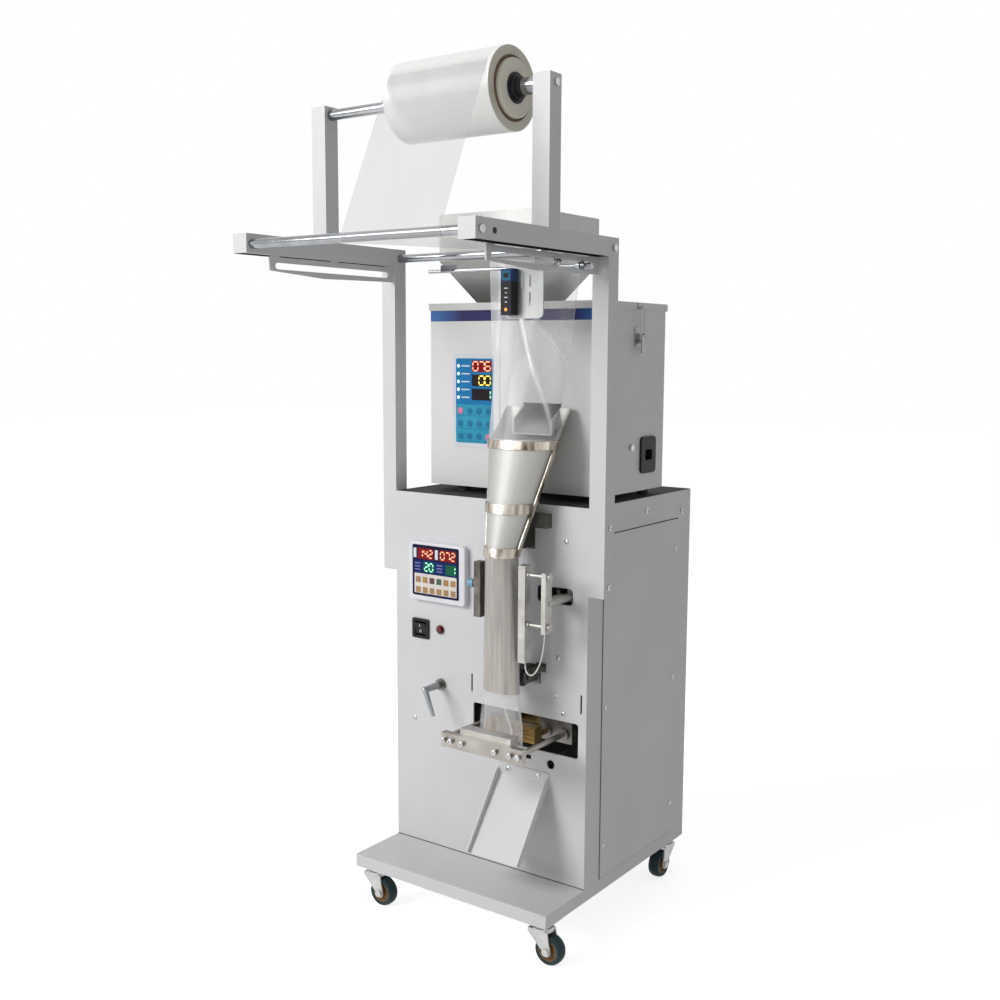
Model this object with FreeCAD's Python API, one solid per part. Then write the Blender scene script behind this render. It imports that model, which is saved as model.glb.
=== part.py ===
import FreeCAD, Part
import math
import os

# Powder filling machine: a weighing feeder on a cabinet that forms, seals and cuts film bags.
# Millimetres, +X to the machine's right, +Y to its back, +Z up. The origin lies on the floor,
# under the centre of the overall outline.

# Cabinet and base
cabinet_width = 400.0
cabinet_depth = 349.0
cabinet_top = 726.0
base_top = 94.0
base_lip = 22.0
base_front_overhang = 113.0
ledge_seam_width = 1.0
ledge_seam_depth = 0.6
ledge_seam_setback = 0.5
sheet = 2.0
panel_sheet = 3.0
cover_sheet = 1.5
inner_flange = 14.0

# Square tube stand that carries the film
tube_size = 29.0
tube_wall = 2.0
leg_bottom = 584.0
arm_bottom = 1115.0
arm_reach = 336.0
post_front_setback = 166.0
post_top = 1355.5
slot_plate_height = 27.0
slot_plate_length = 284.0
slot_plate_thickness = 3.0
slot_plate_gap = 2.0
slot_height = 10.0
slot_end_margin = 11.0

# Bars and film roll
bar_radius = 7.0
bar_inset = 5.0
front_bar_setback = 11.0
roll_shaft_radius = 8.5
shaft_drop = 13.0
core_bore_gap = 0.05
core_radius = 38.0
roll_radius = 59.5
roll_left = -38.0
roll_width = 193.0
flange_radius = 43.0
flange_thickness = 7.0
cone_radius = 21.0
cone_length = 14.0
collar_radius = 12.0
collar_length = 22.0
collar_gap = 0.3
bolt_radius = 3.0
bolt_head_radius = 5.5
bolt_head_height = 4.0
bolt_hole_gap = 0.4
bolt_thread_gap = 0.05

# Film and process line
process_x = 78.0
film_width = 181.0
film_thickness = 0.5
film_gap = 0.4
former_setback = 65.0
former_radius = 26.5
former_wall = 1.2
former_oval_x = 34.0
former_oval_y = 17.0
former_bottom = 425.0
funnel_bottom = 650.0
collar_height = 830.0
collar_setback = 5.0
collar_half_x = 62.0
collar_half_y = 46.0
mouth_top = 880.0
mouth_half_x = 67.0
mouth_front = -40.0
mouth_front_cut = 44.0
mouth_rear = 35.0
bag_flat_top = 368.0
bag_bottom = 334.0
hoop_gap = 0.5
hoop_thickness = 1.6
top_hoop_height = 817.0
mid_hoop_height = 716.0
low_hoop_height = 647.0
hoop_band = 15.0
strap_width = 9.0
film_ring_sides = 48
curtain_lift = 0.6
gusset_half = 4.0
gusset_foot_half = 20.0
clamp_block_left = 11.0
clamp_block_right = 52.0
clamp_block_depth = 14.0
clamp_block_height = 23.0

# Weighing feeder
weigher_left = -159.0
weigher_width = 351.0
weigher_setback = 46.0
weigher_depth = 210.0
feet_height = 12.0
feet_radius = 10.0
feet_inset = 26.0
latch_setback = 112.0
latch_drop = 44.0
latch_throw = 7.0
latch_standoff = 7.0
latch_offset = 3.0
latch_pin = 1.5
loop_radius = 1.0
loop_half = 6.6
lid_bottom = 1040.0
lid_top = 1052.0
lid_gap = 0.3
hopper_x = -42.0
hopper_half = 100.0
hopper_rim = 1203.0
hopper_hip = 1124.0
hopper_throat = 1010.0
hopper_outlet = 1000.0
hopper_outlet_half = 24.0
hopper_flange = 12.0
keypad_left = -108.0
keypad_width = 100.0
keypad_height = 159.0
keypad_rise = 69.0
keypad_thickness = 1.5
inlet_setback = 151.0
inlet_rise = 60.0
inlet_body_half_y = 13.7
inlet_body_half_z = 18.7
trough_floor = 990.0
trough_height = 22.0
trough_left_reach = 38.0
trough_shoulder_reach = 52.0
trough_front_reach = 74.5
trough_mouth_reach = 20.5
trough_rear_reach = 33.5
feeder_post_drop = 90.0
feeder_magnet_drop = 35.0
feeder_spring_width = 50.0
cell_length = 70.0
cell_width = 14.0
cell_rise = 16.0
cell_setback = 28.0
bucket_half_x = 30.0
bucket_front = 62.0
bucket_rear = 132.0
bucket_bottom = 930.0
bucket_top = 985.0
spout_half_x = 38.0
spout_front = 10.0
spout_front_height = 838.0
spout_rear = 128.0
spout_angle = 35.0
spout_wall = 1.5
spout_side = 22.0

# Front panel controls and openings, as distances on the panel
spare_hole_x = 132.0
spare_hole_z = 293.6
spare_hole_radius = 7.8
spare_slot_left = 80.0
spare_slot_right = 93.0
spare_slot_bottom = 294.5
spare_slot_top = 302.0
panel_screw_places = ((158.5, 669.0), (144.8, 477.0), (141.6, 412.0), (156.0, 384.5), (-159.4, 320.0))
window_left = -28.0
window_right = 185.0
window_bottom = 313.5
window_top = 372.0
seal_slot_left = 102.0
seal_slot_right = 171.6
seal_slot_bottom = 565.6
seal_slot_top = 593.0
vent_slot_width = 3.0
vent_slot_bottom = 390.0
vent_slot_top = 422.0
vent_slot_xs = (-31.0, 190.0)
control_left = -162.0
control_width = 124.0
control_bottom = 538.0
control_height = 104.0
control_depth = 11.0
control_corner = 8.0
switch_x = -143.5
switch_z = 485.5
switch_width = 37.0
switch_height = 35.0
lamp_x = -100.0
lamp_z = 489.0
lamp_radius = 8.0
lever_x = -98.5
lever_z = 391.5
lever_reach = 45.0
lever_boss_depth = 14.0

# Vertical seal
seal_bar_height = 157.0
seal_bar_bottom = 480.0
seal_gap = 8.5
seal_bar_depth = 16.0
heater_thickness = 5.0
insulator_thickness = 8.0
seal_plate_x = 86.0
seal_plate_thickness = 8.0
seal_arm_radius = 6.0
seal_rod_radius = 3.0
seal_guide_radius = 4.0
seal_guide_setback = 22.0
seal_guide_half = 22.0
seal_stroke = 4.0
fixed_bar_bottom = 543.0
fixed_bar_height = 91.0

# Horizontal seal jaws
jaw_plate_front = 121.0
jaw_plate_thickness = 12.0
jaw_plate_half = 80.0
jaw_plate_bottom = 332.5
jaw_plate_height = 23.5
jaw_block_half = 50.0
jaw_block_depth = 21.0
jaw_block_bottom = 339.0
jaw_block_height = 26.0
rear_jaw_setback = 42.0
jaw_rod_radius = 4.5
jaw_rod_spread = 73.0
rear_rod_spread = 40.0
rod_guide_gap = 0.06
rear_yoke_reach = 58.0
front_yoke_reach = 84.0

# Pull roller
pull_roller_radius = 15.0
pull_roller_half = 21.0
pull_roller_height = 444.0
pull_shaft_radius = 4.0
pull_roller_gap = 0.3

# Drives and control box inside the cabinet
drive_x = 80.0
drive_y = 185.0
drive_stand_half_x = 70.0
drive_stand_half_y = 65.0
drive_stand_height = 60.0
gearbox_half_x = 40.0
gearbox_half_y = 45.0
gearbox_height = 90.0
drive_motor_radius = 38.0
drive_motor_length = 90.0
drive_shaft_radius = 8.0
drive_shaft_length = 21.5
crank_radius = 30.0
crank_thickness = 10.5
crank_throw = 20.0
crank_pin_radius = 5.0
roller_gearbox_half = 35.0
roller_motor_radius = 26.0
control_box_front = 120.0
control_box_width = 90.0
control_box_length = 180.0
control_box_height = 220.0

# Output chute
chute_half = 51.0
chute_top = 278.0
chute_bend_height = 259.0
chute_foot_reach = 84.0
chute_foot_height = 145.0
chute_side_top = 11.0
chute_side_foot = 7.0

# Casters
caster_inset_x = 24.0
caster_inset_y = 30.0
wheel_radius = 25.0
wheel_width = 20.0
wheel_core_radius = 17.0
caster_trail = 14.0
caster_plate = 44.0
caster_plate_thickness = 2.5
king_pin_radius = 4.0
axle_radius = 3.5
running_gap = 0.05
fork_sheet = 2.5
fork_lead = 21.0
fork_tail = 15.0

# Sensor on its rod
sensor_rod_setback = 42.0
sensor_rod_radius = 3.0
sensor_rod_left = -88.0
sensor_plate_width = 66.0
sensor_plate_height = 81.0
sensor_width = 22.0
sensor_height = 71.0
sensor_depth = 17.0
sensor_drop = 73.0
sensor_shift = 19.0
lens_radius = 5.0

# Side and back covers
side_cover_front = 48.0
side_cover_rear = 47.0
side_cover_top = 49.0
side_cover_bottom = 2.0
cover_screw_inset = 9.0
rear_recess = 1.0
vent_rows = 7
vent_row_start = 120.0
vent_row_pitch = 12.0
vent_column_pitch = 80.0
vent_length = 50.0
vent_height = 4.0

# Values worked out from the sizes above
front_y = (arm_reach - cabinet_depth) / 2.0
rear_y = front_y + cabinet_depth
half_width = cabinet_width / 2.0
arm_front_y = front_y - arm_reach
base_front_y = front_y - base_front_overhang
base_bottom = base_top - base_lip
arm_top = arm_bottom + tube_size
stand_outer = half_width + tube_size
leg_rear_y = front_y + tube_size
post_front_y = front_y - post_front_setback
post_rear_y = post_front_y + tube_size
shaft_y = post_front_y + tube_size / 2.0
shaft_z = post_top - shaft_drop
front_bar_y = arm_front_y + front_bar_setback
rear_bar_y = front_y + tube_size / 2.0
bar_z = arm_bottom + tube_size / 2.0 - 1.0
former_y = front_y - former_setback
collar_y = front_y - collar_setback
weigher_right = weigher_left + weigher_width
weigher_front = front_y + weigher_setback
weigher_rear = weigher_front + weigher_depth
weigher_bottom = cabinet_top + feet_height
weigher_mid_y = (weigher_front + weigher_rear) / 2.0
inlet_y = weigher_front + inlet_setback
inlet_z = weigher_bottom + inlet_rise
caster_x = half_width - caster_inset_x
caster_front_y = base_front_y + caster_inset_y
caster_rear_y = rear_y - caster_inset_y
seal_arm_z = (seal_slot_bottom + seal_slot_top) / 2.0
jaw_rod_z = jaw_plate_bottom + 0.62 * jaw_plate_height
slot_plate_top = arm_bottom - slot_plate_gap
slot_mid_z = slot_plate_top - slot_plate_height / 2.0


def box(x0, x1, y0, y1, z0, z1):
    """Box between two corners."""
    return Part.makeBox(x1 - x0, y1 - y0, z1 - z0, FreeCAD.Vector(x0, y0, z0))


def rod_x(x0, x1, y, z, radius):
    """Round bar along X."""
    return Part.makeCylinder(radius, x1 - x0, FreeCAD.Vector(x0, y, z), FreeCAD.Vector(1, 0, 0))


def rod_y(y0, y1, x, z, radius):
    """Round bar along Y."""
    return Part.makeCylinder(radius, y1 - y0, FreeCAD.Vector(x, y0, z), FreeCAD.Vector(0, 1, 0))


def rod_z(z0, z1, x, y, radius):
    """Round bar along Z."""
    return Part.makeCylinder(radius, z1 - z0, FreeCAD.Vector(x, y, z0), FreeCAD.Vector(0, 0, 1))


def fuse(shapes):
    """One solid from overlapping shapes."""
    shapes = list(shapes)
    return shapes[0].multiFuse(shapes[1:]).removeSplitter()


def save(node, shapes):
    """Write one node's solids."""
    solids = shapes if isinstance(shapes, list) else [shapes]
    shape = solids[0] if len(solids) == 1 else Part.makeCompound(solids)
    shape.exportStep("parts/" + node + ".step")


def yz_plate(points, x0, x1):
    """Plate with an outline of (y, z) points, between two X planes."""
    corners = [FreeCAD.Vector(x0, y, z) for y, z in points]
    wire = Part.makePolygon(corners + corners[:1])
    return Part.Face(wire).extrude(FreeCAD.Vector(x1 - x0, 0, 0))


def xy_plate(points, z0, z1):
    """Plate with an outline of (x, y) points, between two Z planes."""
    corners = [FreeCAD.Vector(x, y, z0) for x, y in points]
    wire = Part.makePolygon(corners + corners[:1])
    return Part.Face(wire).extrude(FreeCAD.Vector(0, 0, z1 - z0))


def slot_y(x0, x1, z0, z1, y0, y1, radius):
    """Block through the panel with rounded corners in the XZ plane."""
    block = box(x0, x1, y0, y1, z0, z1)
    edges = [e for e in block.Edges if abs(e.tangentAt(e.FirstParameter).y) > 0.9]
    return block.makeFillet(radius, edges)


def slot_x(y0, y1, z0, z1, x0, x1, radius):
    """Block through a side plate with rounded corners in the YZ plane."""
    block = box(x0, x1, y0, y1, z0, z1)
    edges = [e for e in block.Edges if abs(e.tangentAt(e.FirstParameter).x) > 0.9]
    return block.makeFillet(radius, edges)


def ellipse_wire(x, y, z, half_x, half_y):
    """Closed horizontal ellipse."""
    centre = FreeCAD.Vector(x, y, z)
    if half_x >= half_y:
        curve = Part.Ellipse(centre, half_x, half_y)
    else:
        curve = Part.Ellipse(FreeCAD.Vector(x, y + half_y, z), FreeCAD.Vector(x + half_x, y, z), centre)
    return Part.Wire([curve.toShape()])


def funnel_share(z):
    """How far up the funnel a height lies, from 0 at the tube to 1 at the collar."""
    return (z - funnel_bottom) / (collar_height - funnel_bottom)


def funnel_middle(z):
    """Y of the funnel's middle at a height."""
    return former_y + funnel_share(z) * (collar_y - former_y)


def funnel_half(z):
    """Half sizes of the funnel at a height."""
    share = funnel_share(z)
    half_x = former_radius + share * (collar_half_x - former_radius)
    half_y = former_radius + share * (collar_half_y - former_radius)
    return half_x, half_y


def funnel_wire(z, offset):
    """Outline of the funnel at a height, moved outward."""
    half_x, half_y = funnel_half(z)
    return ellipse_wire(process_x, funnel_middle(z), z, half_x + offset, half_y + offset)


def funnel_solid(z0, z1, offset):
    """Solid cone stretch of the funnel."""
    return Part.makeLoft([funnel_wire(z0, offset), funnel_wire(z1, offset)], True, True)


def tube_solid(z0, z1, offset):
    """Forming tube stretch that goes from round at its top to oval at its bottom."""
    wires = []
    for z in (z0, z1):
        share = (funnel_bottom - z) / (funnel_bottom - former_bottom)
        half_x = former_radius + share * (former_oval_x - former_radius)
        half_y = former_radius + share * (former_oval_y - former_radius)
        wires.append(ellipse_wire(process_x, former_y, z, half_x + offset, half_y + offset))
    return Part.makeLoft(wires, True, True)


def tube_rear_y(z):
    """Back of the forming tube at a height."""
    share = (funnel_bottom - z) / (funnel_bottom - former_bottom)
    return former_y + former_radius + share * (former_oval_y - former_radius)


def hex_head_x(x, direction, y, z):
    """Hexagon bolt head standing on an X face."""
    corners = []
    for step in range(6):
        angle = math.radians(60 * step)
        offset_y = bolt_head_radius * math.cos(angle)
        offset_z = bolt_head_radius * math.sin(angle)
        corners.append(FreeCAD.Vector(x, y + offset_y, z + offset_z))
    face = Part.Face(Part.makePolygon(corners + corners[:1]))
    return face.extrude(FreeCAD.Vector(direction * bolt_head_height, 0, 0))


def bolt_x(x, direction, y, z, length):
    """Hexagon bolt whose head stands on an X face and whose shank goes the other way."""
    start = FreeCAD.Vector(x, y, z)
    shank = Part.makeCylinder(bolt_radius, length, start, FreeCAD.Vector(-direction, 0, 0))
    return hex_head_x(x, direction, y, z).fuse(shank)


def screw_head(x, y, z, axis, radius, height):
    """Low domed screw head standing on a face."""
    seat = FreeCAD.Vector(x, y, z)
    rim = Part.makeCylinder(radius, height * 0.4, seat, axis)
    crown = Part.makeCone(radius, radius * 0.7, height * 0.6, seat + axis * (height * 0.4), axis)
    return rim.fuse(crown)


def base_platform():
    """Folded sheet tray with caster pads, and a seam between its open ledge and the cabinet."""
    outer = box(-half_width, half_width, base_front_y, rear_y, base_bottom, base_top)
    inner = box(-half_width + sheet, half_width - sheet, base_front_y + sheet, rear_y - sheet,
                base_bottom - 1, base_top - sheet)
    seam_y = front_y - ledge_seam_setback
    seam = box(-half_width - 1, half_width + 1, seam_y - ledge_seam_width, seam_y,
               base_top - ledge_seam_depth, base_top + 1)
    tray = outer.cut(inner).cut(seam)
    pads = []
    reach = caster_plate + 2 * sheet
    for side in (-1, 1):
        for y in (caster_front_y, caster_rear_y):
            edge_x = side * half_width
            inner_x = side * (caster_x - reach / 2)
            x0, x1 = sorted((edge_x, inner_x))
            if y < 0:
                y0, y1 = base_front_y, y + reach / 2
            else:
                y0, y1 = y - reach / 2, rear_y
            pads.append(box(x0, x1, y0, y1, base_bottom, base_bottom + panel_sheet))
    save("base_platform", fuse([tray] + pads))


def cabinet_shell():
    """Welded cabinet body, open at the front, sides and back where its panels go."""
    shell_front = front_y + panel_sheet
    outer = box(-half_width, half_width, shell_front, rear_y, base_top, cabinet_top)
    inner = box(-half_width + sheet, half_width - sheet, shell_front + sheet, rear_y - sheet,
                base_top + sheet, cabinet_top - sheet)
    shell = outer.cut(inner)
    margin = inner_flange + 12
    front_hole = box(-half_width + inner_flange, half_width - inner_flange, shell_front - 1,
                     shell_front + sheet + 1, base_top + inner_flange, cabinet_top - inner_flange)
    side_hole = box(-half_width - 1, half_width + 1, front_y + side_cover_front + inner_flange,
                    rear_y - side_cover_rear - inner_flange, base_top + side_cover_bottom + inner_flange,
                    cabinet_top - side_cover_top - inner_flange)
    rear_hole = box(-half_width + margin, half_width - margin, rear_y - 40, rear_y + 1,
                    base_top + margin, cabinet_top - margin)
    shell = shell.cut(front_hole).cut(side_hole).cut(rear_hole)
    recess = box(-half_width + inner_flange, half_width - inner_flange, rear_y - rear_recess, rear_y + 1,
                 base_top + inner_flange, cabinet_top - inner_flange)
    shell = shell.cut(recess)
    save("cabinet_shell", shell)


def front_panel():
    """Front plate with the jaw window, the seal slots, the vent slots and the switch cut-outs."""
    back_y = front_y + panel_sheet
    plate = box(-half_width, half_width, front_y, back_y, base_top, cabinet_top)
    cuts = [slot_y(window_left, window_right, window_bottom, window_top, front_y - 1, back_y + 1, 5.0)]
    cuts.append(slot_y(seal_slot_left, seal_slot_right, seal_slot_bottom, seal_slot_top,
                       front_y - 1, back_y + 1, 7.0))
    for x in vent_slot_xs:
        cuts.append(slot_y(x - vent_slot_width / 2, x + vent_slot_width / 2, vent_slot_bottom,
                           vent_slot_top, front_y - 1, back_y + 1, vent_slot_width / 2 - 0.05))
    half_cut_x = switch_width / 2 - 3
    half_cut_z = switch_height / 2 - 3
    cuts.append(box(switch_x - half_cut_x, switch_x + half_cut_x, front_y - 1, back_y + 1,
                    switch_z - half_cut_z, switch_z + half_cut_z))
    cuts.append(rod_y(front_y - 1, back_y + 1, lamp_x, lamp_z, lamp_radius - 2))
    cuts.append(rod_y(front_y - 1, back_y + 1, lever_x, lever_z, 6.0))
    cuts.append(rod_y(front_y - 1, back_y + 1, spare_hole_x, spare_hole_z, spare_hole_radius))
    cuts.append(box(spare_slot_left, spare_slot_right, front_y - 1, back_y + 1, spare_slot_bottom,
                    spare_slot_top))
    for cut in cuts:
        plate = plate.cut(cut)
    save("front_panel", plate)


def covers():
    """Side covers screwed on the cabinet and the back cover in its recess."""
    pieces = []
    for side in (-1, 1):
        x0, x1 = sorted((side * half_width, side * (half_width + cover_sheet)))
        pieces.append(box(x0, x1, front_y + side_cover_front, rear_y - side_cover_rear,
                          base_top + side_cover_bottom, cabinet_top - side_cover_top))
    edge = inner_flange + 0.5
    rear = box(-half_width + edge, half_width - edge, rear_y - rear_recess, rear_y, base_top + edge,
               cabinet_top - edge)
    for row in range(vent_rows):
        z = base_top + vent_row_start + row * vent_row_pitch
        for column in (-1, 0, 1):
            x = column * vent_column_pitch
            rear = rear.cut(slot_y(x - vent_length / 2, x + vent_length / 2, z, z + vent_height,
                                   rear_y - rear_recess - 1, rear_y + 1, vent_height / 2 - 0.1))
    save("cabinet_covers", pieces + [rear])


def stand_side(side):
    """One welded side of the stand: leg, arm and post of square tube."""
    def square(x_in, y0, y1, z0, z1, shrink):
        x0, x1 = sorted((side * (x_in + shrink), side * (stand_outer - shrink)))
        return box(x0, x1, y0, y1, z0, z1)
    w = tube_wall
    leg = square(half_width, front_y, leg_rear_y, leg_bottom, arm_bottom, 0)
    leg = leg.cut(square(half_width, front_y + w, leg_rear_y - w, leg_bottom + w, arm_bottom - w, w))
    arm = square(half_width, arm_front_y, leg_rear_y, arm_bottom, arm_top, 0)
    arm = arm.cut(square(half_width, arm_front_y + w, leg_rear_y - w, arm_bottom + w, arm_top - w, w))
    post = square(half_width, post_front_y, post_rear_y, arm_top, post_top, 0)
    post = post.cut(square(half_width, post_front_y + w, post_rear_y - w, arm_top + w, post_top - w, w))
    frame = fuse([leg, arm, post])
    x0, x1 = sorted((side * (half_width - 1), side * (stand_outer + 1)))
    for y, z in ((front_bar_y, bar_z), (rear_bar_y, bar_z), (shaft_y, shaft_z)):
        frame = frame.cut(rod_x(x0, x1, y, z, bolt_radius + bolt_hole_gap))
    plug_x = stand_outer - w - 1 if side > 0 else -stand_outer - 1
    frame = frame.cut(rod_x(plug_x, plug_x + w + 2, front_bar_y + 31, bar_z, 4.4))
    return frame


def slot_plates():
    """Slotted strips under the arms that hold the sensor rod, each on three welded spacers."""
    plates = []
    bottom = slot_plate_top - slot_plate_height
    start_y = front_y - slot_plate_length
    for side in (-1, 1):
        x0, x1 = sorted((side * (half_width + 5), side * (half_width + 5 + slot_plate_thickness)))
        outline = [(start_y, slot_plate_top), (front_y, slot_plate_top), (front_y, bottom + 2),
                   (front_y - 120, bottom), (start_y + 120, bottom - 1), (start_y, bottom + 6)]
        plate = yz_plate(outline, x0, x1)
        slot = slot_x(start_y + slot_end_margin, front_y - slot_end_margin, slot_mid_z - slot_height / 2,
                      slot_mid_z + slot_height / 2, x0 - 1, x1 + 1, slot_height / 2 - 0.1)
        plate = plate.cut(slot)
        tabs = []
        for share in (0.04, 0.5, 0.96):
            y = start_y + share * slot_plate_length
            tabs.append(box(x0, x1, y - 8, y + 8, slot_plate_top - 1, arm_bottom))
        plates.append(fuse([plate] + tabs))
    save("slot_plates", plates)


def tapped_bar(y, z, radius):
    """Polished bar between the two sides of the stand, tapped at both ends."""
    bar = rod_x(-half_width, half_width, y, z, radius)
    depth = 22.0
    for x0 in (-half_width, half_width - depth):
        bar = bar.cut(rod_x(x0, x0 + depth, y, z, bolt_radius + bolt_thread_gap))
    return bar


def bars_and_shaft():
    """Guide bars for the film, and the shaft that carries the roll between two stop collars."""
    shaft = tapped_bar(shaft_y, shaft_z, roll_shaft_radius)
    collars = []
    left_stop = roll_left - cone_length - flange_thickness - collar_gap
    right_stop = roll_left + roll_width + cone_length + flange_thickness + collar_gap
    for x0 in (left_stop - collar_length, right_stop):
        ring = rod_x(x0, x0 + collar_length, shaft_y, shaft_z, collar_radius)
        collars.append(ring.cut(rod_x(x0 - 1, x0 + collar_length + 1, shaft_y, shaft_z, roll_shaft_radius)))
    bars = [tapped_bar(front_bar_y, bar_z, bar_radius), tapped_bar(rear_bar_y, bar_z, bar_radius)]
    save("stand_bars", bars + [fuse([shaft] + collars)])


def film_roll():
    """Film wound on its core, with an end disc and a clamping cone in each end."""
    end = roll_left + roll_width
    film = rod_x(roll_left, end, shaft_y, shaft_z, roll_radius)
    film = film.cut(rod_x(roll_left - 1, end + 1, shaft_y, shaft_z, core_radius))
    groove_outer = flange_radius + 3.0
    for x0 in (roll_left - 1, end - 4):
        groove = rod_x(x0, x0 + 5, shaft_y, shaft_z, groove_outer)
        film = film.cut(groove.cut(rod_x(x0 - 1, x0 + 6, shaft_y, shaft_z, core_radius - 1)))
    save("roll_film", film)
    bore = roll_shaft_radius + core_bore_gap
    cardboard = rod_x(roll_left, end, shaft_y, shaft_z, core_radius)
    cardboard = cardboard.cut(rod_x(roll_left - 1, end + 1, shaft_y, shaft_z, core_radius - 5))
    parts = [cardboard]
    for side, face in ((-1, roll_left), (1, end)):
        x0, x1 = sorted((face, face + side * flange_thickness))
        disc = rod_x(x0, x1, shaft_y, shaft_z, flange_radius)
        plug_x0, plug_x1 = sorted((face, face - side * 16.0))
        plug = rod_x(plug_x0, plug_x1, shaft_y, shaft_z, core_radius - 5)
        outer_face = face + side * flange_thickness
        cone = Part.makeCone(cone_radius, collar_radius + 1, cone_length,
                             FreeCAD.Vector(outer_face, shaft_y, shaft_z), FreeCAD.Vector(side, 0, 0))
        hub = fuse([disc, plug, cone])
        parts.append(hub.cut(rod_x(roll_left - 80, end + 80, shaft_y, shaft_z, bore)))
    save("roll_core", fuse(parts))


def tangent_direction(start, start_reach, end, end_reach):
    """Unit (y, z) from a circle's centre to where a straight film run touches it; a negative reach
    at the end circle means that the film crosses over to that circle's other side."""
    dy = end[0] - start[0]
    dz = end[1] - start[1]
    span = math.hypot(dy, dz)
    lean = math.asin((start_reach - end_reach) / span)
    along_y = dy / span
    along_z = dz / span
    return (along_z * math.cos(lean) + along_y * math.sin(lean),
            -along_y * math.cos(lean) + along_z * math.sin(lean))


def film_wrap(centre, reach, from_angle, to_angle, x0, x1):
    """Film bent round a bar, over a range of angles in degrees."""
    outer = rod_x(x0, x1, centre[0], centre[1], reach + film_thickness)
    ring = outer.cut(rod_x(x0 - 1, x1 + 1, centre[0], centre[1], reach))
    fan = [(centre[0], centre[1])]
    for step in range(9):
        angle = math.radians(from_angle + (to_angle - from_angle) * step / 8.0)
        fan.append((centre[0] + 4 * reach * math.cos(angle), centre[1] + 4 * reach * math.sin(angle)))
    return ring.common(yz_plate(fan, x0, x1))


def film_run(start, end, side, shift_start, shift_end):
    """Straight film sheet between two edges given as (y, z), thickened towards a (y, z) side."""
    x0 = process_x - film_width / 2
    x1 = process_x + film_width / 2
    corners = [FreeCAD.Vector(x0 + shift_start, start[0], start[1]),
               FreeCAD.Vector(x1 + shift_start, start[0], start[1]),
               FreeCAD.Vector(x1 + shift_end, end[0], end[1]),
               FreeCAD.Vector(x0 + shift_end, end[0], end[1])]
    face = Part.Face(Part.makePolygon(corners + corners[:1]))
    return face.extrude(FreeCAD.Vector(0, side[0] * film_thickness, side[1] * film_thickness))


def touch(centre, direction, reach):
    """Point on a circle of a given radius."""
    return (centre[0] + direction[0] * reach, centre[1] + direction[1] * reach)


def film_straights():
    """Film from the roll round the front bar's underside and back over the rear bar."""
    roll = (shaft_y, shaft_z)
    front = (front_bar_y, bar_z)
    rear = (rear_bar_y, bar_z)
    x0 = process_x - film_width / 2
    x1 = process_x + film_width / 2
    reach = bar_radius + film_gap
    roll_reach = roll_radius + film_gap
    down = tangent_direction(roll, roll_reach, front, reach)
    if down[0] > 0:
        down = (-down[0], -down[1])
    skew = roll_left + roll_width / 2 - process_x
    slanted = film_run(touch(roll, down, roll_reach), touch(front, down, reach), down, skew, 0.0)
    over = reach + film_thickness
    back = tangent_direction(front, reach, rear, -over)
    run_start = touch(front, back, reach)
    run_end = touch(rear, back, -over)
    level = film_run(run_start, run_end, back, 0.0, 0.0)
    first = math.degrees(math.atan2(down[1], down[0]))
    last = math.degrees(math.atan2(back[1], back[0]))
    wrap = film_wrap(front, reach, first, last + 360.0 if last < first else last, x0, x1)
    start = math.degrees(math.atan2(-back[1], -back[0]))
    wrap_rear = film_wrap(rear, reach, start, 0.0, x0, x1)
    return fuse([slanted, wrap, level, wrap_rear])


def film_curtain():
    """Film from behind the rear bar down to the collar, bent round the collar's front half."""
    flat_y = rear_bar_y + bar_radius + film_gap
    half_x, half_y = funnel_half(collar_height)
    x0 = process_x - film_width / 2
    steps = film_ring_sides // 2

    def edge_points(on_collar, inset):
        points = []
        for step in range(steps + 1):
            angle = math.radians(180.0 + 180.0 * step / steps)
            if on_collar:
                reach = film_gap + curtain_lift + film_thickness - inset
                points.append(FreeCAD.Vector(process_x + (half_x + reach) * math.cos(angle),
                                             collar_y + (half_y + reach) * math.sin(angle), collar_height))
            else:
                points.append(FreeCAD.Vector(x0 + film_width * step / steps, flat_y + inset, bar_z))
        return points

    wires = []
    for on_collar in (False, True):
        outline = edge_points(on_collar, 0.0) + edge_points(on_collar, film_thickness)[::-1]
        wires.append(Part.makePolygon(outline + outline[:1]))
    return Part.makeLoft(wires, True, True)


def film_ring(y, z, half_x, half_y):
    """Closed outline of the film round the former, in short straight sides."""
    points = []
    for step in range(film_ring_sides):
        angle = 2 * math.pi * step / film_ring_sides
        points.append(FreeCAD.Vector(process_x + half_x * math.cos(angle), y + half_y * math.sin(angle), z))
    return Part.makePolygon(points + points[:1])


def film_tube(low, high):
    """Stretch of film tube between two rings, each given as (y, z, half x, half y)."""
    layers = []
    for offset in (film_thickness, 0.0):
        wires = [film_ring(y, z, half_x + offset, half_y + offset) for y, z, half_x, half_y in (low, high)]
        layers.append(Part.makeLoft(wires, True, True))
    return layers[0].cut(layers[1])


def film_bag():
    """Film below the forming tube, narrowing to the flat stretch that the jaws seal."""
    half_turn = math.pi * former_radius / 2
    flat_half = film_thickness / 2
    low = (former_y, bag_flat_top, half_turn, flat_half)
    high = (former_y, former_bottom, former_oval_x + film_gap, former_oval_y + film_gap)
    flat = box(process_x - half_turn + 2, process_x + half_turn - 2, former_y - film_thickness,
               former_y + film_thickness, bag_bottom, bag_flat_top)
    return fuse([film_tube(low, high), flat])


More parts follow.
